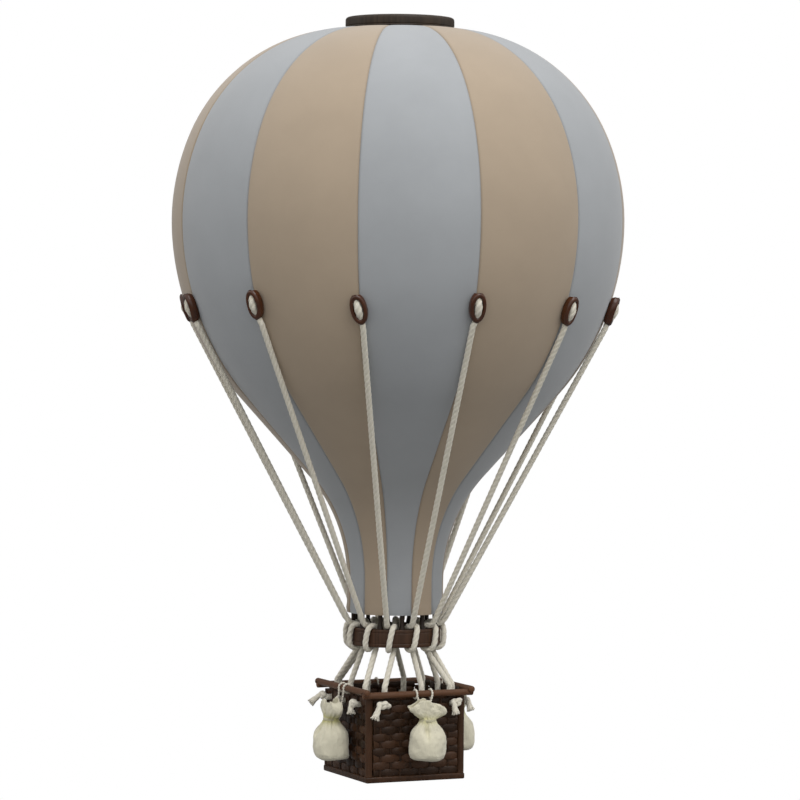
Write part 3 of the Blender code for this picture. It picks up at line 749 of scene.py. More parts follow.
# %% Crown ring
CROWN_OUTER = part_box("crown_ring")[1].x
CROWN_INNER = 28.0 * MM
CROWN_HEIGHT = RING_TOP_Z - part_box("crown_ring")[0].z
CROWN_GROOVES, CROWN_GROOVE_DEPTH, CROWN_CORNER = (6.1 * MM,), 0.6 * MM, 2.2 * MM
GROOVE_HALF, GROOVE_DEPTH = 0.35 * MM, 0.35 * MM
TURN_STEPS = 144


def ring_outline(outer, inner, top, bottom, grooves, groove_depth=GROOVE_DEPTH):
    """A ring's section with shallow grooves in its outer face, clockwise from the top's outer corner."""
    points = [(outer, top)]
    for at in grooves:
        points += [(outer, top + at - GROOVE_HALF), (outer - groove_depth, top + at),
                   (outer, top + at + GROOVE_HALF)]
    return points + [(outer, bottom), (inner, bottom), (inner, top)]


crown_outline = ring_outline(CROWN_OUTER, CROWN_INNER, 0.0, CROWN_HEIGHT, CROWN_GROOVES, CROWN_GROOVE_DEPTH)
add_piece("crown_ring_turned", turned(crown_outline, TURN_STEPS, CROWN_CORNER), crown_wood, "crown_wood",
          ["crown_ring"], sharp=60)
print(f"crown ring {CROWN_OUTER * 2000:.1f} mm across, {CROWN_HEIGHT * 1000:.1f} mm high")

# %% Crown disc

disc_top = RING_TOP_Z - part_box("crown_disc")[1].z
disc_bottom = RING_TOP_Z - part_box("crown_disc")[0].z
disc_edge, stem_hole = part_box("crown_disc")[1].x, 1.2 * MM
DISC_GROOVES, DISC_GROOVE_DEPTH = (9.7 * MM, 23.7 * MM), 0.4 * MM
disc_outline = [(disc_edge, disc_top), (disc_edge, disc_bottom), (stem_hole, disc_bottom),
                (stem_hole, disc_top)]
for rise in (9.0 * MM, 9.7 * MM, 10.4 * MM, 23.0 * MM, 23.7 * MM, 24.4 * MM):
    disc_outline.append((rise, disc_top + (DISC_GROOVE_DEPTH if rise in DISC_GROOVES else 0.0)))
add_piece("crown_disc_turned", turned(disc_outline, 96, 0.4 * MM), crown_wood, "crown_wood", ["crown_disc"],
          sharp=60)

# %% Hanging eye
EYE_RADIUS, EYE_WIRE, STEM_RADIUS = 2.6 * MM, 0.7 * MM, 0.9 * MM
eye_low, eye_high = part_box("hanging_eye")
eye_middle = eye_high.z - EYE_WIRE - EYE_RADIUS
eye_ring = [(EYE_RADIUS * cos(a), 0, eye_middle + EYE_RADIUS * sin(a)) for a in once_round(48)]
eye_rings = sweep(eye_ring + eye_ring[:2], round_section(EYE_WIRE, 16), up=(0, 1, 0))[1:-1]
stem = sweep([(0, 0, eye_middle - EYE_RADIUS), (0, 0, eye_low.z + 0.3 * MM), (0, 0, eye_low.z)],
             round_section(STEM_RADIUS, 20), up=(1, 0, 0))
NUT_RADIUS, NUT_CHAMFER = 2.1 * MM, 0.15 * MM
nut_top, nut_bottom = disc_bottom + 0.3 * MM, disc_bottom + 1.5 * MM
nut = [[around(NUT_RADIUS * size, 60 * k, down(depth)) for k in range(6)]
       for size, depth in ((0.9, nut_top), (1.0, nut_top + NUT_CHAMFER), (1.0, nut_bottom - NUT_CHAMFER),
                           (0.9, nut_bottom))]
collar = turned([(1.9 * MM, disc_top - 0.8 * MM), (2.4 * MM, disc_top - 0.2 * MM), (2.4 * MM, disc_top),
                 (1.0 * MM, disc_top), (1.0 * MM, disc_top - 0.9 * MM)], 32, 0.2 * MM)
eye_shape = joined([skin(eye_rings, loop=True), skin(stem), skin(nut), collar])
add_piece("hanging_eye_wire", eye_shape, brass, "brass", ["hanging_eye"])
print(f"the eye's opening is {(EYE_RADIUS - EYE_WIRE) * 2000:.1f} mm across")

# %% [markdown]
# ## Eyelets
# On each seam sits a moulded oval ring, as thick as a bead, with the cord coming up through its window. A
# torus stretched to that outline would have bars of the wrong thickness, so a softened oval section is
# placed round a slot shape instead. The hand that tied the eyelets left each leaning a little.

# %% Places of the eyelets
EYELET_DEPTH = 192.3 * MM
EYELET_WIDTH, EYELET_HEIGHT, EYELET_THICK = 11.0 * MM, 20.1 * MM, 5.6 * MM
WINDOW_WIDTH, WINDOW_HEIGHT = 5.5 * MM, 12.4 * MM
CORD_RADIUS, CORD_OFFSET = 1.97 * MM, 2.9 * MM
EYELET_LEANS = (2, -1, 2, -3, 1, 3, -2, 1, 2, -1, 0, 10)
# Steps aside and up from the seam's own place, in millimetres, for those that were sewn on askew
EYELET_STEPS = {0: (0.3, 1.8), 10: (2.2, 2.6)}
# How far above the envelope's surface the eyelets sit
EYELET_SEAT = 0.3 * MM


def eyelet_place(number, lean=0.0):
    """Placement on a seam: local X along the envelope, Y up it, Z out of it."""
    yaw = SEAM_YAW + number * GORE_ANGLE
    slope = -asin((EYELET_DEPTH - EQUATOR_DEPTH) / WAIST_ARC)
    radius = ENVELOPE_RADIUS - WAIST_ARC * (1 - cos(slope))
    place = (Matrix.Translation(around(radius, yaw, down(EYELET_DEPTH)))
             @ Matrix.Rotation(radians(yaw), 4, "Z") @ Matrix.Rotation(radians(90) - slope, 4, "X"))
    aside, up = EYELET_STEPS.get(number, (0, 0))
    return place @ Matrix.Translation((aside * MM, up * MM, 0)) @ Matrix.Rotation(radians(lean), 4, "Z")


print("eyelet 1 at", [round(c, 4) for c in eyelet_place(0).translation])

# %% Eyelets
EYELET_POWER = 2.4


def eyelet_rings():
    """Rings of the eyelet's section round its slot-shaped middle line, in local places."""
    side_bar, end_bar = (EYELET_WIDTH - WINDOW_WIDTH) / 4, (EYELET_HEIGHT - WINDOW_HEIGHT) / 4
    across, along = (EYELET_WIDTH + WINDOW_WIDTH) / 4, (EYELET_HEIGHT + WINDOW_HEIGHT) / 4
    groove = CORD_RADIUS + 0.3 * MM
    rings = []
    for turn in once_round(96):
        out = Vector((along * cos(turn), across * sin(turn), 0)).normalized()
        middle = Vector((across * cos(turn), along * sin(turn), EYELET_SEAT + EYELET_THICK / 2))
        bar = side_bar + (end_bar - side_bar) * sin(turn) ** 2
        section = round_section(bar, 28, EYELET_POWER, EYELET_THICK / 2 / bar)
        ring = [middle + out * x + Vector((0, 0, z)) for x, z in section]
        for point in ring:
            if abs(point.y) > WINDOW_HEIGHT / 3 and abs(point.x) < groove:
                point.z = max(point.z, CORD_OFFSET + 0.95 * groove * sqrt(1 - (point.x / groove) ** 2))
        rings.append(ring)
    return rings


eyelet_ring = eyelet_rings()
for number in range(GORE_COUNT):
    place = eyelet_place(number, EYELET_LEANS[number])
    shape = skin([[place @ p for p in ring] for ring in eyelet_ring], loop=True)
    add_piece(f"eyelet_moulded_{number + 1:02d}", shape, moulded_brown, "eyelet_brown",
              [f"eyelet_{number + 1:02d}"])
low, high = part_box("eyelet_01")
print("eyelet solid", [round((b - a) * 1000, 1) for a, b in zip(low, high)], "mm")

# %% [markdown]
# ## Stays
# Twelve soft cords carry the basket. Each comes up behind its eyelet's lower bar and bulges through the
# window. Below, it goes over the load ring and down inside, comes out underneath, climbs the ring's face
# as a slanting band, goes over the top again and drops inside to the basket. There it passes the rim on
# the inside, leaves through the wall, and ends in an overhand knot with a frayed tail. A taut cord runs
# straight from bend to bend, so a route is a list of points with eased corners and needs no simulation.

# %% Places of the stays
CORD_PITCH = 12.5 * MM
RING_TOP, RING_HEIGHT = 404.7 * MM, 12.0 * MM
RING_OUTER, RING_INNER = 30.5 * MM, 25.5 * MM
UPPER_ROD_DEPTH, LOWER_ROD_DEPTH = 444.4 * MM, 446.4 * MM
ROD_OUT, ROD_RADIUS = 37.9 * MM, 2.2 * MM
HOLE_DEPTH, KNOT_DEPTH = 453.7 * MM, 452.7 * MM
WALL_OUT, WALL_THICK = 35.4 * MM, 3.0 * MM
# Places of the stays along the front and back walls, and along the other two
STAY_LATERALS = ((-20.7 * MM, 6.0 * MM, 26.6 * MM), (-26.6 * MM, -4.0 * MM, 20.0 * MM))
# Through the eyelet: to the right, up along the envelope and out of it, in millimetres
WINDOW_ROUTE = ((0.1, 8.4, 2.7), (0, 6.9, 2.9), (-0.1, 4.2, 4.4), (0.0, 0.0, 5.3), (0.1, -4.2, 4.4),
                (0, -6.9, 2.9), (0, -9.0, 2.9))
# Where a stay leaves its eyelet, up and out, and how far to the right some stand there, in millimetres
EXIT_UP, EXIT_OUT = -12.6, 2.9
EXIT_STEPS = {0: -1.2, 9: 1.5, 10: 1.6, 11: 2.0}
# The hitch: distance from the axis, step aside and depth below the ring's top, in millimetres
HITCH = ((33.9, -2.2, -6.0), (31.2, -2.2, -2.5), (28.0, -2.2, -2.3), (24.6, -2.2, -1.6), (23.3, -2.2, 1.5),
         (23.3, -2.1, 10.5), (24.4, -1.9, 13.3), (28.0, -1.5, 14.0), (31.5, -0.9, 13.0), (32.8, -0.5, 9.8),
         (32.9, 0.8, 3.0), (31.9, 1.9, -1.4), (28.5, 2.3, -2.3), (24.6, 2.2, -1.6), (23.3, 2.2, 1.5),
         (23.3, 2.1, 10.0), (24.3, 1.9, 14.4))
# How softly each of a stay's three parts bends, and how far apart its points are
PART_BENDS = ((2.2 * MM, 1.1 * MM), (2.2 * MM, 1.0 * MM), (2.9 * MM, 0.9 * MM))


def stay_side(number):
    """Yaw of the basket side that a stay ends on, its place along that side, and its number there."""
    turn, place = divmod(number + 1, 3)
    return 90.0 * turn, STAY_LATERALS[turn % 2][place], place

# %% Routes of the stays
def stay_route(number):
    """Eased route of one stay in three parts: through the eyelet, down to the basket, out of its wall."""
    place = eyelet_place(number, EYELET_LEANS[number])
    window = [place @ (Vector(p) * MM) for p in WINDOW_ROUTE]
    below = eyelet_place(number) @ (Vector((EXIT_STEPS.get(number, 0.0), EXIT_UP, EXIT_OUT)) * MM)
    ring_yaw = number * GORE_ANGLE
    hitch = [around(r * MM, ring_yaw, down(RING_TOP + d * MM), t * MM) for r, t, d in HITCH]
    yaw, lateral, _ = stay_side(number)
    inside, outside = WALL_OUT - WALL_THICK - 0.3 * MM - CORD_RADIUS, WALL_OUT + 1.2 * MM
    basket = [on_side(yaw, lateral, inside, UPPER_ROD_DEPTH - ROD_RADIUS),
              on_side(yaw, lateral, inside, HOLE_DEPTH), on_side(yaw, lateral, outside, HOLE_DEPTH)]
    parts = ([*window, below], [below, *hitch, basket[0]], basket)
    return [rounded(part, bend, step) for part, (bend, step) in zip(parts, PART_BENDS)]


# Where along its curve the knot begins and ends, and its height and thickness for a given size
KNOT_START, KNOT_END = 0.35, tau - 0.55
KNOT_TALL, KNOT_THICK = 0.50, 0.80
KNOT_LIFT = 2.2 * MM


def overhand(yaw, lateral, size, lean):
    """Route of a tight overhand knot against the wall, entered at the hole and left towards the tail."""
    line = []
    for t in np.linspace(KNOT_START, KNOT_END, 44):
        x = (sin(t) + 2 * sin(2 * t)) * size
        y = (cos(t) - 2 * cos(2 * t)) * size * KNOT_TALL
        out = -sin(3 * t) * size * KNOT_THICK
        line.append(on_side(yaw, lateral + x * cos(lean) - y * sin(lean),
                            WALL_OUT + KNOT_LIFT + 1.1 * size + out,
                            KNOT_DEPTH - (x * sin(lean) + y * cos(lean))))
    return line

# %% Laid cord and frayed ends
# The loose yarns of a cut end: lengths and sway in millimetres, and the turn from one to the next
YARN_RADIUS = 0.36 * MM
YARN_LENGTHS, YARN_SWAY, YARN_TURN = (1.5, 2.7), (-0.3, 0.3), 2.4
PLY_SIDES = 8
cord_section = twisted_section(3, CORD_RADIUS, PLY_SIDES)
# Marks for the painted shade in the grooves between the plies
groove_marks = [max(0.0, 1 - 3.2 * min(k % PLY_SIDES, PLY_SIDES - k % PLY_SIDES) / PLY_SIDES)
                for k in range(len(cord_section))]


def cord_shape(path, size):
    """A length of laid cord, with its thickness at each point of the path."""
    rings = sweep(path, cord_section, tau / CORD_PITCH, size)
    return skin(rings, marks=[groove_marks] * len(rings))


def frayed_tail(start, line, seed, count=30):
    """Short loose yarns that stand out from the cord's cut end like a brush."""
    rng = np.random.default_rng(seed)
    line = Vector(line).normalized()
    side = line.orthogonal().normalized()
    other = line.cross(side)
    shapes = []
    for k in range(count):
        angle, reach = k * YARN_TURN, sqrt((k + 0.5) / count)
        out = side * cos(angle) + other * sin(angle)
        length = rng.uniform(*YARN_LENGTHS) * MM
        root = Vector(start) + out * CORD_RADIUS * 1.05 * reach - line * 0.8 * MM
        bend = out * reach * 0.9 + side * rng.uniform(*YARN_SWAY) + other * rng.uniform(*YARN_SWAY)
        middle = root + line * length * 0.5 + out * reach * 0.25 * MM
        yarn = rounded([root, middle, root + line * length + bend * MM], 1 * MM, 0.7 * MM)
        shapes.append(skin(sweep(yarn, round_section(YARN_RADIUS, 5))))
    return shapes

# %% Twelve stays with their knots
# For the left, middle and right stay of a side: knot size, knot's step aside in millimetres, tail's slant
KNOT_SIZES = (1.05 * MM, 0.80 * MM, 1.05 * MM)
KNOT_ASIDES = (-2.6, -0.5, 1.2)
TAIL_WAYS = (-0.38, -0.30, 0.15)
KNOT_LEANS = (-8, 12, -5, 6)
# The cord is thinner where it is knotted, and swells in the eyelet's window
KNOT_SQUEEZE = 0.80
STRAND_SWELL, SWELL_HALF = 0.32, 5.5 * MM
TAIL_LENGTH, TAIL_LEAN, TAIL_FLARE, TAIL_STEP = 6.0, 0.1, 0.25, 0.7
# Knots that lie another way: step aside in millimetres, the tail's length, and how far the tail leans out
KNOT_HABITS = {8: (-3.4, 7.5, 1.1), 11: (-5.4, 8.0, 0.0)}

for number in range(GORE_COUNT):
    yaw, lateral, place_in_row = stay_side(number)
    window, run, rim = stay_route(number)
    usual = (KNOT_ASIDES[place_in_row], TAIL_LENGTH, TAIL_LEAN)
    aside, length, lean_out = KNOT_HABITS.get(number, usual)
    knot = overhand(yaw, lateral + aside * MM, KNOT_SIZES[place_in_row],
                    radians(KNOT_LEANS[number % 4]))
    tail_way = around(lean_out, yaw, -1.0, TAIL_WAYS[place_in_row]).normalized()
    tail = [Vector(knot[-1]) + tail_way * length * MM * t for t in (0.3, 0.65, 1.0)]
    end = rounded([rim[-1], *knot, *tail], 1.0 * MM, TAIL_STEP * MM)
    line = np.concatenate([window[:-1], run[:-1], rim[:-1], end])
    before, tail_count = len(line) - len(end), round(length / TAIL_STEP)
    size = np.ones(len(line))
    to_eyelet = eyelet_place(number, EYELET_LEANS[number]).inverted()
    heights = np.array([(to_eyelet @ Vector(p)).y for p in window[:-1]])
    size[:len(heights)] += STRAND_SWELL * np.clip(1 - (heights / SWELL_HALF) ** 2, 0, 1)
    size[before + 2:] = KNOT_SQUEEZE
    size[-tail_count:] = np.linspace(KNOT_SQUEEZE, 1 + TAIL_FLARE, tail_count)
    shape = joined([cord_shape(line, size), *frayed_tail(line[-1], line[-1] - line[-4], 40 + number)])
    add_piece(f"stay_cord_{number + 1:02d}", shape, cord_cotton, "cotton_cord", [f"stay_{number + 1:02d}"],
              sharp=180)
    print(f"stay {number + 1} follows {np.linalg.norm(np.diff(line, axis=0), axis=1).sum() * 1000:.0f} mm")

# %% [markdown]
# ## Load ring
# The ring under the mouth is turned from the same dark wood, with two fine grooves. Short black pegs,
# flared at the foot, hold it off the hem of the envelope. The ring reuses the crown's outline with other
# numbers, and a peg is six circles with faces between them.

# %% Load ring and pegs
RING_GROOVES, RING_CORNER = (2.4 * MM, 9.4 * MM), 1.2 * MM
load_outline = ring_outline(RING_OUTER, RING_INNER, RING_TOP, RING_TOP + RING_HEIGHT, RING_GROOVES)
add_piece("load_ring_turned", turned(load_outline, TURN_STEPS, RING_CORNER), ring_wood, "ring_wood",
          ["load_ring"], sharp=60)
PEG_CIRCLE = 28.0 * MM
# A peg's radius and its depth below the ring's top, in millimetres, from its foot up
PEG_LINE = ((2.1, 0.4), (2.1, 0.0), (1.95, -0.8), (1.65, -2.2), (1.4, -4.0), (1.4, -9.2))
pegs = []
for number in range(GORE_COUNT):
    middle = around(PEG_CIRCLE, POST_YAW + number * GORE_ANGLE, 0)
    rings = [[middle + Vector((r * MM * cos(a), r * MM * sin(a), down(RING_TOP + d * MM)))
              for a in once_round(18)] for r, d in PEG_LINE]
    pegs.append(skin(rings))
add_piece("ring_pegs", joined(pegs), peg_wood, "ring_wood", sharp=60)

# %% [markdown]
# ## Basket
# Each wall is a plain weave: round stakes stand in a row, and flat canes pass them by turns in front and
# behind, each row the other way from the one below. The bulge of a cane over a stake catches the light,
# so it is real shape: a lens-shaped strip swept along a wave. Where a cord leaves through the wall, the
# strips below it are pushed down, and where a sandbag's cord passes under the rim the top strip dips.

# %% Sides and canes of the basket
STAKE_PITCH, STAKE_COUNT, STAKE_RADIUS = 7.24 * MM, 8, 0.95 * MM
WALL_HALF = 30.4 * MM
WALL_MIDDLE = WALL_OUT - WALL_THICK / 2
ROWS_ABOVE, ROWS_BELOW = 2, 10
# A cane: its section, how far it laps over its neighbours, and how far it swings past the stakes
STRIP_THICK, STRIP_POWER, STRIP_POINTS = 1.65 * MM, 2.0, 150
STRIP_LAP, WEAVE_SWING = 0.32 * MM, 0.72 * MM
WOBBLE, WOBBLE_SIZE = 0.12 * MM, 0.012
DARKEST, TONE_RANGE = 0.02, 0.32
BASE_THICK = 4.0 * MM
# How far a stay parts the canes and how wide, how far up and down that is felt, and a loop's dent
HOLE_ROOM, HOLE_HALF, PUSH_REACH = 2.4 * MM, 3.0 * MM, 9.0 * MM
LOOP_DIP, LOOP_HALF = 1.7 * MM, 1.2 * MM
# Basket sides: name, yaw of the side, depth of its rim rod, place of its bag along the wall
SIDES = (("front", 0.0, LOWER_ROD_DEPTH, 2.5 * MM), ("right", 90.0, UPPER_ROD_DEPTH, 3.0 * MM),
         ("back", 180.0, LOWER_ROD_DEPTH, 1.0 * MM), ("left", 270.0, UPPER_ROD_DEPTH, 5.0 * MM))
# Where each bag's two loops sit on the rod, from the bag's own place, in millimetres
LOOP_SPREADS = {"front": (-4.5, 6.5), "right": (-3.5, 3.5), "back": (-5.0, 1.0), "left": (-4.0, 3.5)}
print("a wall has", ROWS_ABOVE + ROWS_BELOW, "canes and", STAKE_COUNT, "stakes")

# %% One cane of the weave
def edge_depth(depth, x, laterals, loops, wall_top, below):
    """Depth of a strip's edge once the cords have parted the weave and the bag's loops pressed it down."""
    gap = abs(depth - HOLE_DEPTH)
    part = sum(np.exp(-((x - lateral) / HOLE_HALF) ** 4) for lateral in laterals)
    press = sum(np.exp(-((x - at) / LOOP_HALF) ** 4) for at in loops)
    depth += press * LOOP_DIP * max(0.0, 1 - (depth - wall_top) / (HOLE_DEPTH - wall_top))
    return depth + part * HOLE_ROOM * max(0.0, 1 - gap / PUSH_REACH) * (1 if below else -1)


def strip_shape(row, top, bottom, openings, seed):
    """One flat cane of the weave, in local places: x along the wall, y out of it, depth down."""
    below = (top + bottom) / 2 > HOLE_DEPTH
    rings = []
    for x in np.linspace(-WALL_HALF, WALL_HALF, STRIP_POINTS):
        phase = pi * (x / STAKE_PITCH - 0.5) + pi * row
        out = WALL_MIDDLE + WEAVE_SWING * cos(phase) * (1 - 0.15 * cos(2 * phase))
        edges = [edge_depth(edge, x, *openings, below) for edge in (top, bottom)]
        middle, half = sum(edges) / 2, (edges[1] - edges[0]) / 2 + STRIP_LAP
        wobble = WOBBLE * hum(x, row * 0.1, seed, WOBBLE_SIZE)
        rings.append([(x, out + STRIP_THICK / 2 * sx, middle + wobble + half * sy)
                      for sx, sy in round_section(1.0, 16, STRIP_POWER)])
    return rings

# %% Four woven walls
def toned(rings, tone):
    """A closed shape with one tone all over."""
    return skin(rings, marks=np.full((len(rings), len(rings[0])), tone))


def wall_shape(yaw, rod_depth, loops, seed):
    """A whole wall: its canes with their own tones, and its stakes."""
    rng = np.random.default_rng(seed)
    wall_bottom = BASKET_BOTTOM - BASE_THICK
    laterals = STAY_LATERALS[round(yaw / 90) % 2]
    edges = np.r_[np.linspace(rod_depth, HOLE_DEPTH, ROWS_ABOVE + 1),
                  np.linspace(HOLE_DEPTH, wall_bottom, ROWS_BELOW + 1)[1:]]
    shapes = []
    for row, (top, bottom) in enumerate(zip(edges, edges[1:])):
        tone = DARKEST + TONE_RANGE * rng.uniform(0.0, 1.0) ** 2
        cane = strip_shape(row, top, bottom, (laterals, loops, rod_depth), seed + row)
        shapes.append(toned([[on_side(yaw, *point) for point in ring] for ring in cane], tone))
    for k in range(STAKE_COUNT):
        x = (k - (STAKE_COUNT - 1) / 2) * STAKE_PITCH
        near = min(laterals, key=lambda lateral: abs(x - lateral))
        if abs(x - near) < CORD_RADIUS + STAKE_RADIUS:
            x = near + (CORD_RADIUS + STAKE_RADIUS) * (1 if x > near else -1)
        stake = [on_side(yaw, x, WALL_MIDDLE, d) for d in (rod_depth + 4.2 * MM, wall_bottom)]
        shapes.append(skin(sweep(resample(stake, 5 * MM), round_section(STAKE_RADIUS, 8))))
    return joined(shapes)


for seed, (side, yaw, rod_depth, bag_lateral) in enumerate(SIDES):
    loops = [bag_lateral + off * MM for off in LOOP_SPREADS[side]]
    add_piece(f"woven_wall_{side}", wall_shape(yaw, rod_depth, loops, 10 + seed), rattan, "rattan",
              [f"basket_wall_{side}"], sharp=60, mark="tone")

# %% [markdown]
# ### Rim rods, corner stakes and base
# Four round canes make the rim, just outside the walls. They cross at the corners, where the side ones are
# notched over the front and back ones. A stake stands in each corner, and a thin board closes the basket.
# The notches could be cut with a boolean, but that leaves ragged faces on a fine mesh. Here the points of
# the underside simply can't go lower than the cane that they rest on.

# %% Rim rods
UPPER_ROD_HALF, LOWER_ROD_HALF = 41.5 * MM, 40.0 * MM
ROD_END = 0.8 * MM
ROD_UNEVEN, ROD_UNEVEN_SIZE = 0.035, 0.008
ROD_TONE, ROD_TONE_STEP = 0.66, 0.10


def rod_shape(yaw, rod_depth, seed):
    """A rim cane: a little uneven, rounded at its ends, notched where it crosses above another."""
    rings = []
    section = round_section(ROD_RADIUS, 24)
    notched = rod_depth == UPPER_ROD_DEPTH
    rod_half = UPPER_ROD_HALF if notched else LOWER_ROD_HALF
    for x in np.linspace(-rod_half, rod_half, 170):
        end = max(0.0, (abs(x) - (rod_half - ROD_END)) / ROD_END)
        size = sqrt(max(0.0, 1 - end * end * 0.75)) * (1 + ROD_UNEVEN * hum(x, 0, seed, ROD_UNEVEN_SIZE))
        gap = abs(abs(x) - ROD_OUT)
        seat = down(LOWER_ROD_DEPTH) + sqrt(max(0.0, ROD_RADIUS ** 2 - gap ** 2)) * 1.06
        ring = []
        for sy, sz in section:
            height = down(rod_depth) + sz * size
            if notched and gap < ROD_RADIUS:
                height = max(height, seat)
            ring.append(around(ROD_OUT + sy * size, yaw, height, x))
        rings.append(ring)
    return toned(rings, ROD_TONE + ROD_TONE_STEP * sin(seed))


for seed, (side, yaw, rod_depth, _) in enumerate(SIDES):
    add_piece(f"rim_cane_{side}", rod_shape(yaw, rod_depth, seed), rattan, "rattan", [f"rim_rod_{side}"],
              sharp=60, mark="tone")

# %% Corner stakes
CORNER_RADIUS, CORNER_SIDES = 2.5 * MM, 22
CORNER_TONE, CORNER_TONE_STEP = 0.26, 0.05
corner = BASKET_HALF - CORNER_RADIUS
foot, head = down(BASKET_BOTTOM - BASE_THICK), down(LOWER_ROD_DEPTH + ROD_RADIUS + 0.3 * MM)
stakes = []
for k, (sx, sy) in enumerate(((-1, -1), (1, -1), (1, 1), (-1, 1))):
    path = [(sx * corner, sy * corner, z) for z in np.linspace(foot, head, 40)]
    size = [1 + 0.03 * hum(p[2], k, 0, 0.01) for p in path]
    rings = sweep(path, round_section(CORNER_RADIUS, CORNER_SIDES), size=size)
    stakes.append(toned(rings, CORNER_TONE - CORNER_TONE_STEP * k))

# %% Base board
BOARD_EDGE, BOARD_TONE = 0.9 * MM, 0.14
board = bmesh.new()
board_place = (Matrix.Translation((0, 0, down(BASKET_BOTTOM - BASE_THICK / 2)))
               @ Matrix.Diagonal((2 * BASKET_HALF, 2 * BASKET_HALF, BASE_THICK, 1)))
bmesh.ops.create_cube(board, size=1.0, matrix=board_place)
bmesh.ops.bevel(board, geom=board.edges[:], offset=BOARD_EDGE, segments=3, affect="EDGES", profile=0.5)
board_verts = np.array([tuple(v.co) for v in board.verts])
board_faces = [tuple(v.index for v in face.verts) for face in board.faces]
board_runs = [(board_verts[i][1], board_verts[i][0]) for face in board_faces for i in face]
board.free()
board_shape = (board_verts, board_faces, board_runs, np.full(len(board_verts), BOARD_TONE))
add_piece("basket_base_board", joined([*stakes, board_shape]), rattan, "rattan", ["basket_base"],
          sharp=50, mark="tone")

# %% [markdown]
# ## Sandbags
# Each sandbag is a scrap of calico gathered round a handful of filling and tied. Under the tie it is a
# sagging bulb with folds that fade downwards; above the tie the spare cloth flares into a ruffle. A thin
# cord is tied round the neck, and its two legs end in loops round the rim rod, which the bag swings on.
# The bulb is heaviest low down, so the widest part sits under its middle. A cloth simulation could gather
# the neck, but where its folds end up is hard to steer. So the outline comes from tables, and sums of waves
# press folds, a crease and crumples into it.

# %% Bag outlines
# Height above the neck, half width along the wall, and half depth away from it, in millimetres
BULB = ((-25.2, 0.3, 0.3), (-25.1, 5.0, 4.8), (-24.6, 8.7, 8.3), (-23.2, 10.9, 10.4), (-20.8, 11.9, 11.3),
        (-17.0, 12.2, 11.7), (-12.5, 12.2, 11.7), (-9.0, 12.0, 11.3), (-6.8, 11.4, 10.6), (-4.9, 10.3, 9.4),
        (-3.2, 8.7, 8.0), (-1.6, 7.0, 6.5), (-0.2, 5.8, 5.3), (1.2, 5.1, 4.7), (2.2, 5.0, 4.6))
# The ruffle's reach to the left and to the right and half its depth, by the share of its height
RUFFLE = ((0.0, 5.0, 5.0, 4.6), (0.12, 6.2, 7.6, 4.6), (0.25, 7.8, 10.6, 4.8), (0.40, 9.4, 12.6, 5.0),
          (0.60, 11.6, 13.3, 5.2), (0.80, 13.2, 12.8, 5.2), (1.0, 14.0, 11.2, 4.9))
# Height of the ruffle's edge above the neck, from its left tip to its right lobe
RUFFLE_EDGE = ((-1.0, 10.2), (-0.72, 11.4), (-0.42, 15.0), (-0.10, 15.5), (0.22, 13.0), (0.50, 12.2),
               (0.80, 11.6), (1.0, 9.6))
# How far a low corner can be pulled out, by the height above the neck
CORNER_PULL = ((-25.2, 0.10), (-24.6, 0.34), (-23.2, 0.17), (-20.8, 0.05), (-17.0, 0.0))
# How far back the bulb may reach before the wall stops it, the neck's height and the cloth's thickness
BAG_BACK, NECK, CLOTH = 11.8, 2.2, 0.45
BAG_OUT, BAG_NECK_DEPTH = 48.0 * MM, 464.2 * MM
BAG_STEPS, BULB_ROWS, RISING_ROWS, FALLING_ROWS = 200, 64, 30, 24
print(f"a bag is {(RUFFLE_EDGE[3][1] - BULB[0][0]):.1f} mm tall")

# %% Folds of gathered cloth
def read_off(table, at, column=1):
    """The value that a table gives at a place between its rows."""
    rows = np.array(table)
    return np.interp(at, rows[:, 0], rows[:, column])


def fold(angle, seed):
    """How far a gathered cloth stands out at an angle: a few uneven folds with sharp valleys."""
    waves = sin(7 * angle + seed) + 0.7 * sin(11 * angle + 2.3 * seed) + 0.5 * sin(4 * angle + 0.7 * seed)
    return 1 - 1.5 * abs(sin(0.5 * waves * 1.3)) ** 0.8


def crumple(x, y, z, size, seed):
    """Sharp little ridges, as in cloth that was squeezed in the hand."""
    return 1 - 2 * abs(hum(x, y, z, size, seed)) - abs(hum(x, y, z, size * 0.5, seed + 3))

# %% The bulb and the neck
def bag_point(angle, up, wide, deep, seed, pull, way, crease):
    """A point of the bulb or the neck, with its folds, in millimetres from the neck's middle."""
    across, inward = cos(angle), sin(angle)
    # Gathers that fade down from the tie, on slightly uneven and crumpled cloth
    gather = np.exp(-((up - 1.4) / 3.0) ** 2) * 0.75 + np.exp(-max(0.0, -up) / 6.5) * 0.65
    radial = 1 + 0.11 * gather * fold(angle, seed) + 0.022 * hum(across, inward, up / 9, 0.8, seed)
    radial += 0.034 * crumple(across * 10, inward * 10, up, 7.5, seed) * min(1.0, -min(up, 0) / 4)
    # One deep crease on the front, under the tie
    turn = angle + pi / 2 + crease
    turn = atan2(sin(turn), cos(turn))
    drop = max(0.0, 1 - abs(up + 5.0) / 6.5)
    radial -= 0.28 * drop * np.exp(-(turn / (0.10 + 0.12 * drop)) ** 2)
    # Four blunt corners low down, and one of them pulled out
    radial += 0.030 * max(0.0, 1 - abs(up + 20) / 8) * cos(4 * angle + 0.6 * seed)
    towards = cos(angle - way)
    radial += pull * read_off(CORNER_PULL, up) * (max(0.0, towards) ** 6 - 0.35 * max(0.0, -towards) ** 2)
    rise = up + 0.3 * sin(2 * angle + seed)
    return wide * radial * across, min(deep * radial * inward, BAG_BACK), rise

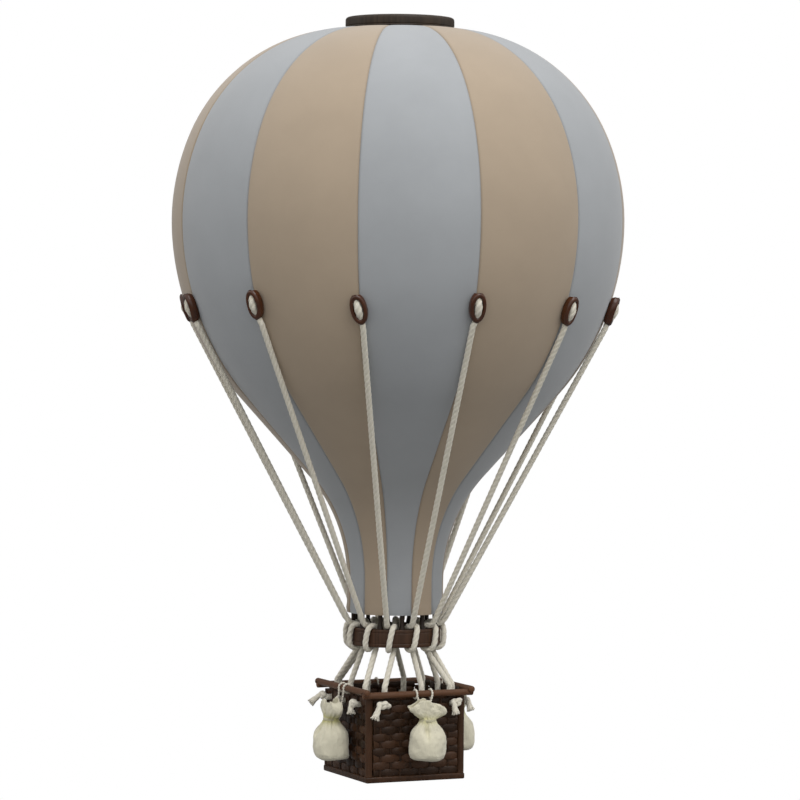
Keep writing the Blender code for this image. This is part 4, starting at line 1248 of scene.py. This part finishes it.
# %% The ruffle
def ruffle_point(angle, share, seed, crease, lift, inner=0.0):
    """A point of the flared cloth above the tie: a tip on one side, a lobe on the other, crumpled between."""
    across, inward = cos(angle), sin(angle)
    along = across * (-1 if sin(seed) < 0 else 1)
    wide = read_off(RUFFLE, share, 2 if along > 0 else 1)
    deep = read_off(RUFFLE, share, 3)
    lobes = (sin(3 * angle + 1.1 * seed) + 0.8 * sin(5 * angle + 2.1 * seed)
             + 0.5 * sin(8 * angle + 0.4 * seed))
    ridges = crumple(across * wide, inward * deep * 2, 14 * share, 5.0, seed + 7)
    push = (0.8 * lobes + 1.0 * ridges) * share ** 0.7
    cloth_fold = 1 + 0.14 * (1 - share) ** 2 * fold(angle, seed)
    x = (wide - inner) * across * cloth_fold + 0.6 * push * across
    y = (deep - inner) * inward * cloth_fold + 0.9 * push * (0.3 + 0.7 * abs(inward))
    # The crease of the bulb goes on up the front
    if inward < 0:
        y += 2.4 * share ** 0.5 * (1 - 0.6 * share) * np.exp(-((x + 6.0 * crease) / 1.7) ** 2)
    edge = read_off(RUFFLE_EDGE, along) - 0.5 * ridges + 0.5 * sin(5 * angle + seed)
    edge += lift * max(0.0, across) ** 2
    return x, y, NECK + share * (edge - NECK)

# %% A whole bag
def bag_rings(seed, pull, way, crease, lift):
    """The bag's rings: up the bulb, through the neck, up the ruffle, over its edge and down inside it."""
    bulb = np.array(BULB)
    angles = [tau * k / BAG_STEPS for k in range(BAG_STEPS)]
    runs = np.r_[0, np.cumsum(np.hypot(*np.diff(bulb[:, :2], axis=0).T))]
    rings = []
    for at in np.linspace(0, runs[-1], BULB_ROWS):
        up, wide, deep = (np.interp(at, runs, bulb[:, k]) for k in range(3))
        rings.append([bag_point(a, up, wide, deep, seed, pull, way, crease) for a in angles])
    climb = [(share, 0.0) for share in np.linspace(0, 1, RISING_ROWS)] + [(1.02, CLOTH / 2)]
    climb += [(share, CLOTH) for share in np.linspace(1, 0.12, FALLING_ROWS)]
    for share, inner in climb:
        rings.append([ruffle_point(a, share, seed, crease, lift, inner) for a in angles])
    return rings


def eased(rings):
    """The rings with the kinks of their outline smoothed along the bag."""
    points = np.array(rings)
    points[1:-1] = points[1:-1] * 0.5 + (points[2:] + points[:-2]) * 0.25
    return points

# %% Cords of a bag
# In millimetres: the neck's and the cord's radius, the leg's radius and the loop's radius on the rod
TIE_RADIUS, TIE_CORD, LEG_CORD, GRIP_RADIUS = 5.0, 0.62, 0.72, 2.95
TIE_LAY, LEG_LAY, TIE_DYE = 4 * MM, 3.4 * MM, 3.2
LEG_STARTS = (-1.4, 1.4)


def tie_route(lean):
    """Two turns of thin cord round the neck, in millimetres from its middle."""
    return [(TIE_RADIUS * cos(a), (TIE_RADIUS - 0.3) * sin(a),
             0.75 + 1.5 * a / (2 * tau) + 0.3 * sin(a + lean)) for a in np.linspace(0, 2 * tau, 120)]


def leg_route(start, grip, rise):
    """One leg: from the tie up behind the ruffle to the rod, then a full turn round it."""
    rod_y, rod_z = (BAG_OUT - ROD_OUT) / MM, rise / MM
    turns = [(grip, rod_y - GRIP_RADIUS * cos(a), rod_z + GRIP_RADIUS * sin(a))
             for a in np.linspace(-0.25, tau - 0.5, 34)]
    return [(start, 4.2, 1.7), (start * 1.2, 5.9, 3.6), *turns]

# %% Bags on their cords
# Each bag's own ways: how much lower it hangs in millimetres, how hard a low corner is pulled out and at
# which angle, where the crease runs on its front, how much higher the ruffle's right end stands in
# millimetres, and how strongly the neck is dyed
BAG_WAYS = {"front": (0.0, 0.15, 2.4, 0.45, 0.0, 1.0), "right": (1.0, 0.3, 0.4, -0.15, 0.0, 1.0),
            "back": (0.5, 0.3, 2.0, 0.24, 0.0, 1.0), "left": (2.2, 1.0, 1.14, 0.0, 4.2, 2.0)}


def from_neck(points, yaw, lateral, depth):
    """Points given from the neck's middle (right, towards the wall, up), moved to a side of the basket."""
    return [on_side(yaw, lateral + x * MM, BAG_OUT - y * MM, depth - z * MM) for x, y, z in points]


def bag_marks(rings, crease, dye):
    """Where the cloth is dyed round the neck, and where shade is painted along the crease on the front."""
    right, inward, up = np.moveaxis(rings, 2, 0)
    # Painted shade along the front crease
    creased = (inward < 0) * np.exp(-((right + 8 * crease) / 1.6) ** 2) * np.exp(-((up + 2) / 7) ** 2)
    return dye * np.exp(-((up - NECK) / 2.8) ** 2) + 0.5 * creased


for seed, (side, yaw, rod_depth, bag_lateral) in enumerate(SIDES):
    drop, pull, way, crease, lift, dye = BAG_WAYS[side]
    neck = (yaw, bag_lateral, BAG_NECK_DEPTH + drop * MM)
    rings = eased(bag_rings(1.9 * seed + 0.6, pull, way, crease, lift))
    bag = skin([from_neck(ring, *neck) for ring in rings], marks=bag_marks(rings, crease, dye))
    pouch = add_piece(f"bag_pouch_{side}", bag, calico, "bag_cotton", [f"sandbag_{side}"],
                      body=f"sandbag_{side}", sharp=180)
    tie = sweep(from_neck(tie_route(seed), *neck), round_section(TIE_CORD * MM, 10), tau / TIE_LAY)
    cords = [toned(tie, TIE_DYE)]
    for start, grip in zip(LEG_STARTS, LOOP_SPREADS[side]):
        leg = from_neck(leg_route(start, grip, neck[2] - rod_depth), *neck)
        section = twisted_section(2, LEG_CORD * MM * 1.1, 5, 0.4)
        cords.append(skin(sweep(rounded(leg, 0.6 * MM, 0.35 * MM), section, tau / LEG_LAY)))
    add_piece(f"bag_cord_{side}", joined(cords), cord_cotton, "cotton_cord", [f"sandbag_cord_{side}"],
              body=f"sandbag_{side}", sharp=180)

# %% [markdown]
# ## Stage
# The photograph is a cut-out on white. Here a white sweep stands well behind the balloon, and a pale floor
# lies under it. The light comes from above: a bright sky-like dome with a dim ground, and one broad soft
# lamp high in front and to the camera's right, which gives the pale top and the darker cone below. The
# sweep glows for the camera only, so it is white in the picture and throws hardly any light back.

# %% Stage white
def stage_finish(name):
    """White for the camera, but giving hardly any light back to the object."""
    finish = bpy.data.materials.new(name)
    finish.use_nodes = True
    tree = finish.node_tree
    shader = tree.nodes["Principled BSDF"]
    shader.inputs["Base Color"].default_value = (0.25, 0.25, 0.25, 1.0)
    shader.inputs["Roughness"].default_value = 1.0
    shader.inputs["Specular IOR Level"].default_value = 0.0
    glow = put(tree, "Emission", {"Color": (1, 1, 1, 1), "Strength": 1.0}).outputs[0]
    seen = put(tree, "LightPath").outputs["Is Camera Ray"]
    mix = put(tree, "MixShader", {0: seen, 1: shader.outputs[0], 2: glow}).outputs[0]
    tree.links.new(mix, tree.nodes["Material Output"].inputs["Surface"])
    return finish

# %% Floor and sweep
FLOOR_Z = -0.75
# The sweep: where its floor begins and ends behind the balloon, its bend, its top and half its width
SWEEP_FRONT, SWEEP_BACK, SWEEP_BEND, SWEEP_TOP, SWEEP_HALF = -4.0, 2.2, 0.9, 3.0, 5.0
outline = [(SWEEP_FRONT, FLOOR_Z), (SWEEP_BACK, FLOOR_Z)]
outline += [(SWEEP_BACK + SWEEP_BEND * sin(a), FLOOR_Z + SWEEP_BEND - SWEEP_BEND * cos(a))
            for a in np.linspace(0, pi / 2, 12)[1:]]
outline.append((SWEEP_BACK + SWEEP_BEND, SWEEP_TOP))
sweep_rows = [[around(-back, CAMERA_YAW, z, aside) for aside in np.linspace(-SWEEP_HALF, SWEEP_HALF, 9)]
              for back, z in outline]
floor = into_scene("studio_sweep", to_mesh("studio_sweep", skin(sweep_rows, wrap=False), 180))
floor.data.materials.append(stage_finish("stage white"))
floor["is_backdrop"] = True

# %% Dome and lamp
DOME_GROUND, DOME_SKY, DOME_POWER = (0.165, 0.178, 0.156, 1), (1.0, 1.0, 1.0, 1), 1.10
# Heights of the line of sight, as a share of its length, between which ground turns into sky
DOME_LOW, DOME_HIGH = -0.12, 0.25
LAMP_SIZE, LAMP_POWER = 1.6, 15.4
LAMP_OUT, LAMP_YAW, LAMP_Z = 1.24, CAMERA_YAW + 27, 1.42
LAMP_TARGET = (0, 0, -0.2)

world = bpy.data.worlds.new("studio dome")
bpy.context.scene.world = world
world.use_nodes = True
tree = world.node_tree
direction = put(tree, "SeparateXYZ", {0: put(tree, "TexCoord").outputs["Generated"]}).outputs[2]
dome = tint(tree, spread(tree, direction, DOME_LOW, DOME_HIGH), DOME_GROUND, DOME_SKY)
seen = put(tree, "LightPath").outputs["Is Camera Ray"]
tree.links.new(tint(tree, seen, dome, (1, 1, 1, 1)), tree.nodes["Background"].inputs["Color"])
tree.nodes["Background"].inputs["Strength"].default_value = DOME_POWER

lamp = bpy.data.lights.new("overhead", "AREA")
lamp.shape, lamp.size, lamp.energy = "DISK", LAMP_SIZE, LAMP_POWER
lamp_object = into_scene("overhead", lamp)
lamp_object.location = around(LAMP_OUT, LAMP_YAW, LAMP_Z)
lamp_object.rotation_mode = "QUATERNION"
lamp_object.rotation_quaternion = (Vector(LAMP_TARGET) - lamp_object.location).to_track_quat("-Z", "Y")
bpy.context.scene.view_settings.view_transform = "Standard"
print("lamp at", [round(c, 3) for c in lamp_object.location])

# %% [markdown]
# ## Finish
# The boxes of the solids and of the dressed model are set side by side, and the difference is printed.

# %% Sizes and the end
dressed_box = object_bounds()
spans = [[high - low for low, high in zip(*box)] for box in (cad_box, dressed_box)]
grown = [round((dressed - cad) * 1000, 2) for cad, dressed in zip(*spans)]
print("the dressed model is larger by", grown, "mm")
